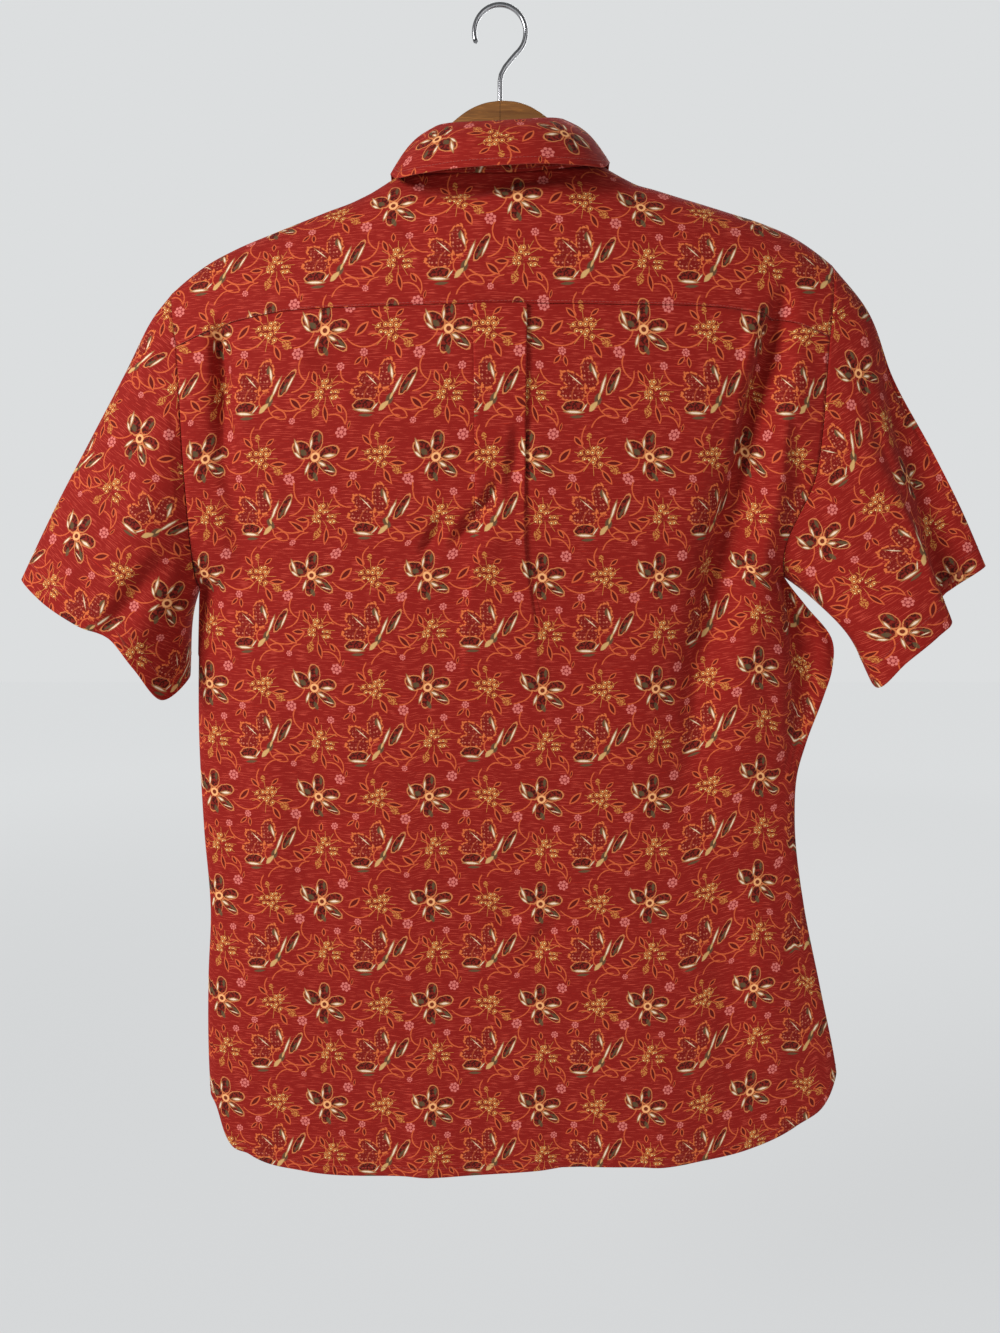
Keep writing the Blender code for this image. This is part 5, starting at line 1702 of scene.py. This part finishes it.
def cells_at(vector, scale, randomness):
    """Distance to the nearest of scattered points, in shares of their spacing."""
    made = Field.node("ShaderNodeTexVoronoi", feature="F1", voronoi_dimensions="2D")
    made.inputs["Scale"].default_value = scale
    made.inputs["Randomness"].default_value = randomness
    Field.plug(made.inputs["Vector"], vector)
    return Field(made.outputs["Distance"])


def ray_shape(frames, frame, x, y, inner, outer, count):
    """Under 0 on fine rays round a middle."""
    along_it, across = placed(frames[frame], x, y, 0, 1.0, 1.0)
    spread_out = distance(along_it, across)
    turn = (Field.maths("ARCTAN2", across, along_it) * (count / 2)).sine().size()
    line = turn * spread_out - 0.012
    return line.most(spread_out - outer).most(inner - spread_out)


def stretched(vector, x, y):
    return vector_maths("MULTIPLY", vector, (x, y, 1.0))


def print_colour(cloth):
    """The printed pattern over the dyed ground, worked out from the flat place on the cloth."""
    cell = vector_maths("ADD", stretched(cloth, 1 / REPEAT, 1 / REPEAT), (0.0, 0.0, 1.0))
    frames = {}
    for low in (FLOWER, SIDE, BELOW, CORNER):
        made = Field.node("ShaderNodeVectorMath", operation="WRAP")
        Field.plug(made.inputs[0], cell)
        made.inputs[1].default_value = (low[0] + 1, low[1] + 1, 2)
        made.inputs[2].default_value = (low[0], low[1], 0)
        frames[low] = Field(made.outputs["Vector"])

    slubs = noise_at(stretched(cloth, 60.0, 1000.0), 1.0, 3.0, 0.6)
    threads = noise_at(stretched(cloth, 90.0, 1500.0), 1.0, 1.0)
    patches = noise_at(cloth, 26.0, 3.0, 0.6)
    ground = mix_colour(step_between(patches, 0.60, 0.38) * 0.45, GROUND, GROUND_DEEP)
    ground = mix_colour(step_between(slubs, 0.39, 0.29), ground, GROUND_DARK)
    ground = mix_colour(step_between(threads * -1.0, -0.66, -0.57) * 0.8, ground, GROUND_PINK)

    blossom_gap = cells_at(frames[SIDE], BLOSSOMS_PER_REPEAT, 0.6)
    ragged = noise_at(frames[CORNER], 30.0, 2.0)
    streaks = noise_at(frames[FLOWER], 40.0, 2.0)

    stems = joined([stem_shape(frames, *row) for row in STEMS]) + (ragged - 0.5) * 0.008
    colour = mix_colour(step_between(stems, 0.003, 0.0075), ground, OUTLINE_DIM)
    rays = joined([ray_shape(frames, *row) for row in RAYS])
    colour = mix_colour(step_between(rays, -0.004, 0.005), colour, GOLD_DIM)

    leaves = joined([leaf_shape(frames, *row) for row in LEAVES])
    colour = mix_colour(step_between(leaves, 0.98, 1.20), colour, OUTLINE_DIM)
    colour = mix_colour(step_between(leaves, 0.52, 0.70), colour, LEAF_FILL)

    petals = joined([petal_shape(frames, *row) for row in PETALS]) + (ragged - 0.5) * 0.28
    lobes = joined([petal_shape(frames, *row) for row in LOBES]) + (ragged - 0.5) * 0.5
    beads = cells_at(frames[CORNER], BEADS_PER_REPEAT, 0.35)
    edge = step_between(lobes, 1.00, 1.08) * step_between(lobes * -1.0, -0.88, -0.82)
    colour = mix_colour(step_between(lobes, 0.96, 1.02) * 0.45, colour, LEAF_FILL)
    colour = mix_colour(edge * step_between(beads, 0.42, 0.58), colour, OUTLINE)
    dots = step_between(beads, 0.20, 0.34) * step_between(lobes, 0.60, 0.84)
    dots = dots * step_between(streaks, 0.56, 0.46)
    colour = mix_colour(dots * 0.8, colour, PETAL_DOT)

    colour = mix_colour(step_between(petals, 0.96, 1.04), colour, PETAL_EDGE)
    fill = mix_colour(step_between(streaks, 0.54, 0.44), PETAL_FILL, PETAL_STREAK)
    colour = mix_colour(step_between(petals, 0.82, 0.90), colour, fill)

    shades = joined([leaf_shape(frames, *row) for row in SHADES]) + (ragged - 0.5) * 0.5
    colour = mix_colour(step_between(shades, 0.6, 1.1) * 0.85, colour, OLIVE)
    lights = joined([leaf_shape(frames, *row) for row in HIGHLIGHTS]) + (ragged - 0.5) * 0.45
    colour = mix_colour(step_between(lights, 0.70, 1.10), colour, CREAM_SHADE)
    colour = mix_colour(step_between(lights, 0.20, 0.62), colour, CREAM)
    buds = joined([leaf_shape(frames, *row) for row in BUDS]) + (ragged - 0.5) * 0.6
    colour = mix_colour(step_between(buds, 0.55, 1.0), colour, BUD)

    sparks = noise_at(frames[BELOW], 75.0, 1.0)
    ferns = joined([leaf_shape(frames, *row) for row in FERNS])
    colour = mix_colour(step_between(ferns, 0.8, 1.1) * step_between(sparks, 0.54, 0.44), colour, GOLD_DIM)

    golds = joined([petal_shape(frames, low, x, y, 0, 2 * radius, radius)
                    for low, x, y, radius in GOLD_CLUSTERS])
    inside_gold = step_between(golds + (ragged - 0.5) * 0.6, 0.92, 1.04)
    rims = step_between(blossom_gap, 0.42, 0.50) * step_between(blossom_gap * -1.0, -0.36, -0.28)
    colour = mix_colour(inside_gold * 0.5, colour, GOLD_BROWN)
    colour = mix_colour(inside_gold * rims, colour, GOLD)
    colour = mix_colour(inside_gold * step_between(blossom_gap, 0.10, 0.22), colour, CREAM_GOLD)

    for low, x, y, radius in PINK_CLUSTERS:
        along_it, across = placed(frames[low], x, y, 0, radius, radius)
        turn = (Field.maths("ARCTAN2", across, along_it) * 3.5).sine().size()
        spread_out = distance(along_it, across)
        colour = mix_colour(step_between(spread_out - turn * 0.30, 0.66, 0.82) * 0.9, colour, PINK)
        gaps = (spread_out - 0.48).size() + turn * 0.22
        colour = mix_colour(step_between(gaps, 0.18, 0.36) * 0.9, colour, GROUND_DEEP)

    ring = petal_shape(frames, FLOWER, 0.0, 0.0, 0, 2.0, 1.0)
    colour = mix_colour(step_between(ring, 0.034, 0.042), colour, RING)
    return mix_colour(step_between(ring, 0.016, 0.024), colour, GOLD_BROWN)


def cotton_material(name, printed_side):
    """Woven cotton. The printed side carries the pattern, the inside shows it faintly."""
    material, shader = plain_material(name, GROUND, 0.82)
    cloth = Field(Field.node("ShaderNodeUVMap", uv_map="cloth").outputs["UV"])
    colour = print_colour(cloth)
    if not printed_side:
        colour = mix_colour(0.62, colour, INSIDE_TINT)
    Field.plug(shader.inputs["Base Color"], colour)
    shader.inputs["Sheen Weight"].default_value = 0.04
    shader.inputs["Sheen Roughness"].default_value = 0.4
    shader.inputs["Specular IOR Level"].default_value = 0.12
    weave = noise_at(stretched(cloth, 900.0, 2600.0), 1.0, 2.0)
    crumple = noise_at(cloth, 70.0, 3.0, 0.55)
    raise_grain(shader, weave * 0.00006 + crumple * 0.00045)
    return material


def plain_material(name, colour, roughness, metallic=0.0):
    material = bpy.data.materials.new(name)
    material.use_nodes = True
    Field.tree = material.node_tree
    shader = material.node_tree.nodes["Principled BSDF"]
    shader.inputs["Base Color"].default_value = colour
    shader.inputs["Roughness"].default_value = roughness
    shader.inputs["Metallic"].default_value = metallic
    return material, shader


def own_place():
    """The place on a piece in its own coordinates."""
    return Field(Field.node("ShaderNodeTexCoord").outputs["Object"])


def raise_grain(shader, height):
    bump = Field.node("ShaderNodeBump")
    bump.inputs["Distance"].default_value = 1.0
    Field.plug(bump.inputs["Height"], height)
    Field.plug(shader.inputs["Normal"], Field(bump.outputs["Normal"]))


def wood_material():
    """Varnished wood whose grain runs along the arms."""
    material, shader = plain_material("hanger_wood", srgb(150, 108, 64), 0.5)
    shader.inputs["Specular IOR Level"].default_value = 0.3
    place = own_place()
    bands = noise_at(vector_maths("MULTIPLY", place, (14.0, 60.0, 150.0)), 1.0, 4.0, 0.6)
    pores = noise_at(vector_maths("MULTIPLY", place, (90.0, 700.0, 1400.0)), 1.0, 2.0, 0.5)
    colour = mix_colour(step_between(bands, 0.62, 0.36), srgb(160, 106, 50), srgb(120, 72, 28))
    colour = mix_colour(step_between(pores, 0.42, 0.32) * 0.5, colour, srgb(92, 58, 32))
    Field.plug(shader.inputs["Base Color"], colour)
    raise_grain(shader, pores * 0.00008)
    return material


def thread_material():
    """Twisted sewing thread."""
    material, shader = plain_material("thread", srgb(150, 44, 34), 0.7)
    shader.inputs["Sheen Weight"].default_value = 0.15
    twist = noise_at(vector_maths("MULTIPLY", own_place(), (5200.0, 5200.0, 5200.0)), 1.0, 1.0)
    Field.plug(shader.inputs["Base Color"], mix_colour(twist, srgb(132, 34, 26), srgb(176, 62, 48)))
    raise_grain(shader, twist * 0.00005)
    return material


def resin_material():
    """Cloudy resin of the buttons."""
    material, shader = plain_material("button_resin", srgb(92, 34, 28), 0.28)
    shader.inputs["Coat Weight"].default_value = 0.3
    cloud = noise_at(vector_maths("MULTIPLY", own_place(), (260.0, 420.0, 420.0)), 1.0, 3.0, 0.6)
    colour = mix_colour(step_between(cloud, 0.62, 0.40), srgb(128, 56, 42), srgb(70, 24, 20))
    Field.plug(shader.inputs["Base Color"], colour)
    raise_grain(shader, cloud * 0.00003)
    return material


def steel_material():
    """Polished wire with fine drawing marks along it."""
    material, shader = plain_material("hook_steel", srgb(176, 176, 178), 0.22, 1.0)
    marks = noise_at(vector_maths("MULTIPLY", own_place(), (2400.0, 2400.0, 160.0)), 1.0, 2.0)
    colour = mix_colour(step_between(marks, 0.60, 0.40), srgb(188, 188, 190), srgb(150, 150, 154))
    Field.plug(shader.inputs["Base Color"], colour)
    raise_grain(shader, marks * 0.00001)
    return material


def sewn(points, flat, outward, share=1.0):
    """A panel with its last edge turned up as a hem and its first one tucked under its neighbour."""
    return tucked_edge(*turned_hem(points, flat, outward), outward, share)


def buttonholes():
    """Worked buttonholes down the left front: two close rows of thread to each button."""
    runs = []
    for index in range(BUTTON_COUNT):
        middle, outward = front_surface(FIRST_BUTTON_Z - BUTTON_PITCH * index)
        up = np.cross((1.0, 0.0, 0.0), outward)
        for x in (-BUTTONHOLE_HALF_WIDTH, BUTTONHOLE_HALF_WIDTH):
            heights = np.linspace(-BUTTONHOLE_HALF_LENGTH, BUTTONHOLE_HALF_LENGTH, 7)
            line = [middle + up * high + np.array([x, 0.0, 0.0]) for high in heights]
            runs.append((np.array(line), np.tile(outward, (7, 1))))
    return runs


def add_panel(name, made, centre):
    points, flat = made
    flat = flat - np.array(PRINT_PLACE[name]) * REPEAT
    piece = add_cloth(f"{name}_cloth", points, flat, centre, (printed, inside))
    width, length, area = flat_size(points, flat)
    finish_piece(piece, name)


printed = cotton_material("printed_cotton", True)
inside = cotton_material("cotton_inside", False)
thread = thread_material()
wood = wood_material()
steel = steel_material()
button = resin_material()

body_centre = (0.0, 0.015, -0.5)
back_grid, back_flat = back_points()
back_out = outward_normals(back_grid, body_centre)
yoke_grid, yoke_flat = yoke_points()
yoke_out = outward_normals(yoke_grid, (0.0, 0.0, -0.3))
left_grid, left_flat = front_points(-1)
left_flat = left_flat * (-1, 1)
left_out = outward_normals(left_grid, body_centre)
right_grid, right_flat = front_points(1)
right_out = outward_normals(right_grid, body_centre)
stand_grid, stand_flat = stand_points()
leaf_grid, leaf_flat = leaf_points()
collar_centre = (0.0, 0.0, -0.14)
stand_out = outward_normals(stand_grid, collar_centre)
leaf_out = outward_normals(leaf_grid, collar_centre)

seam_start = YOKE_SIDE_COLUMNS * 2 - 2
seam_columns = slice(seam_start, seam_start + YOKE_SEAM_COLUMNS)
side_rows = slice(LEAF_SIDE_FROM, None)
sewn_rows = {
    "back": [at_distance(back_grid, back_out, HEM_SEWN)],
    "yoke": [
        at_distance(yoke_grid[:, seam_columns], yoke_out[:, seam_columns], SEAM_SEWN),
        at_distance(yoke_grid, yoke_out, SEAM_SEWN, axis=1),
        at_distance(yoke_grid, yoke_out, SEAM_SEWN, axis=1, from_end=False),
    ],
    "front_left": [
        at_distance(left_grid, left_out, HEM_SEWN),
        at_distance(left_grid, left_out, PLACKET_WIDTH, axis=1),
        at_distance(left_grid, left_out, EDGE_SEWN, axis=1),
        *buttonholes(),
    ],
    "front_right": [
        at_distance(right_grid, right_out, HEM_SEWN),
        at_distance(right_grid, right_out, EDGE_SEWN, axis=1),
    ],
    "collar_stand": [
        at_distance(stand_grid, stand_out, EDGE_SEWN),
        at_distance(stand_grid, stand_out, EDGE_SEWN, from_end=False),
    ],
    "collar_leaf": [
        at_distance(leaf_grid, leaf_out, LEAF_SEWN),
        at_distance(leaf_grid[side_rows], leaf_out[side_rows], LEAF_SEWN, axis=1),
        at_distance(leaf_grid[side_rows], leaf_out[side_rows], LEAF_SEWN, axis=1, from_end=False),
    ],
}
for name, runs in sewn_rows.items():
    finish_piece(stitches(f"{name}_stitching", runs, thread), None)

back_columns = np.arange(back_grid.shape[1])
beside_pleat = np.abs(back_columns - len(back_columns) // 2) > len(pleat_path())
tuck_share = np.where(beside_pleat, 1.0, PLEAT_TUCK)
add_panel("back", sewn(back_grid, back_flat, back_out, tuck_share), body_centre)
add_panel("yoke", (yoke_grid, yoke_flat), (0.0, 0.0, -0.3))
add_panel("front_left", sewn(left_grid, left_flat, left_out), body_centre)
add_panel("front_right", sewn(right_grid, right_flat, right_out), body_centre)
for side, name, cuff, top_line, under_line in (
        (-1, "sleeve_left", LEFT_CUFF, LEFT_TOP_LINE, LEFT_UNDER_LINE),
        (1, "sleeve_right", RIGHT_CUFF, RIGHT_TOP_LINE, RIGHT_UNDER_LINE)):
    grid, flat = sleeve_points(side, cuff, top_line, under_line)
    centre = grid[len(grid) // 2].mean(axis=0)
    out = outward_normals(grid, centre)
    cuff_row = stitches(f"{name}_stitching", [at_distance(grid, out, CUFF_SEWN)], thread)
    hem = finish_piece(cuff_row, None)
    add_panel(name, sewn(grid, flat, out), centre)
add_panel("collar_stand", tucked_edge(stand_grid, stand_flat, stand_out), collar_centre)
add_panel("collar_leaf", (leaf_grid, leaf_flat * (-1, -1)), collar_centre)

add_buttons(button, thread)
for side, node in ((-1, "hanger_left"), (1, "hanger_right")):
    finish_piece(add_hanger_half(node + "_wood", side, wood), node)
finish_piece(add_hook(steel), "hanger_hook")

WALL_COLOUR = srgb(220, 222, 223)
AMBIENT = 0.25
LIT_POINT = (0.0, 0.0, -0.45)
FLOOR_Z = -1.32
FLOOR_REACH = 6.0
CAMERA_PLACE = (0.0, -0.7695, -0.382)
CAMERA_TILT = math.radians(83.0)

floor_mesh = bpy.data.meshes.new("floor")
corners = [(x * FLOOR_REACH, y * FLOOR_REACH, FLOOR_Z) for x, y in ((-1, -1), (1, -1), (1, 1), (-1, 1))]
floor_mesh.from_pydata(corners, [], [(0, 1, 2, 3)])
floor = bpy.data.objects.new("floor", floor_mesh)
bpy.context.scene.collection.objects.link(floor)
# Painted light: the floor glows in the wall's colour so that it looks as bright as the backdrop. Its glow is
# weaker near the shirt, strength 0.75 within 1.4 m of the origin rising to 0.93 by 4 m, which is a painted
# shadow under the shirt.
floor_glow_and_painted_shadow, floor_shader = plain_material("floor_glow_and_painted_shadow", srgb(104, 105, 106), 0.9)
floor_shader.inputs["Emission Color"].default_value = WALL_COLOUR
painted_shadow_distance = vector_maths("LENGTH", own_place())
Field.plug(floor_shader.inputs["Emission Strength"], step_between(painted_shadow_distance, 1.4, 4.0) * -0.18 + 0.93)
floor_mesh.materials.append(floor_glow_and_painted_shadow)

world = bpy.data.worlds.new("studio")
bpy.context.scene.world = world
world.use_nodes = True
background = world.node_tree.nodes["Background"]
background.inputs["Color"].default_value = WALL_COLOUR
seen = world.node_tree.nodes.new("ShaderNodeLightPath")
strength = world.node_tree.nodes.new("ShaderNodeMapRange")
strength.inputs["To Min"].default_value = AMBIENT
world.node_tree.links.new(seen.outputs["Is Camera Ray"], strength.inputs["Value"])
world.node_tree.links.new(strength.outputs[0], background.inputs["Strength"])
bpy.context.scene.view_settings.view_transform = "Standard"


def add_light(name, place, size, power):
    """A soft rectangular lamp, aimed at the middle of the shirt."""
    lamp = bpy.data.lights.new(name, "AREA")
    lamp.shape = "RECTANGLE"
    lamp.size, lamp.size_y = size
    lamp.energy = power
    holder = bpy.data.objects.new(name, lamp)
    bpy.context.scene.collection.objects.link(holder)
    holder.location = place
    aim = np.array(LIT_POINT) - np.array(place)
    flat_run = math.hypot(aim[0], aim[1])
    holder.rotation_euler = (math.pi / 2 + math.atan2(aim[2], flat_run), 0, math.atan2(-aim[0], aim[1]))


add_light("key", (-1.8, -1.5, 0.45), (0.8, 0.8), 56)
add_light("fill", (1.3, -1.7, 0.1), (1.4, 1.6), 6.5)
add_light("front_fill", (0.7, 1.9, 0.7), (1.5, 1.5), 34)

lens = bpy.data.cameras.new("camera")
lens.lens = 27.0
lens.sensor_width = 36.0
lens.clip_start = 0.01
camera = bpy.data.objects.new("camera", lens)
camera.location = CAMERA_PLACE
camera.rotation_euler = (CAMERA_TILT, 0.0, 0.0)
bpy.context.scene.collection.objects.link(camera)
bpy.context.scene.camera = camera
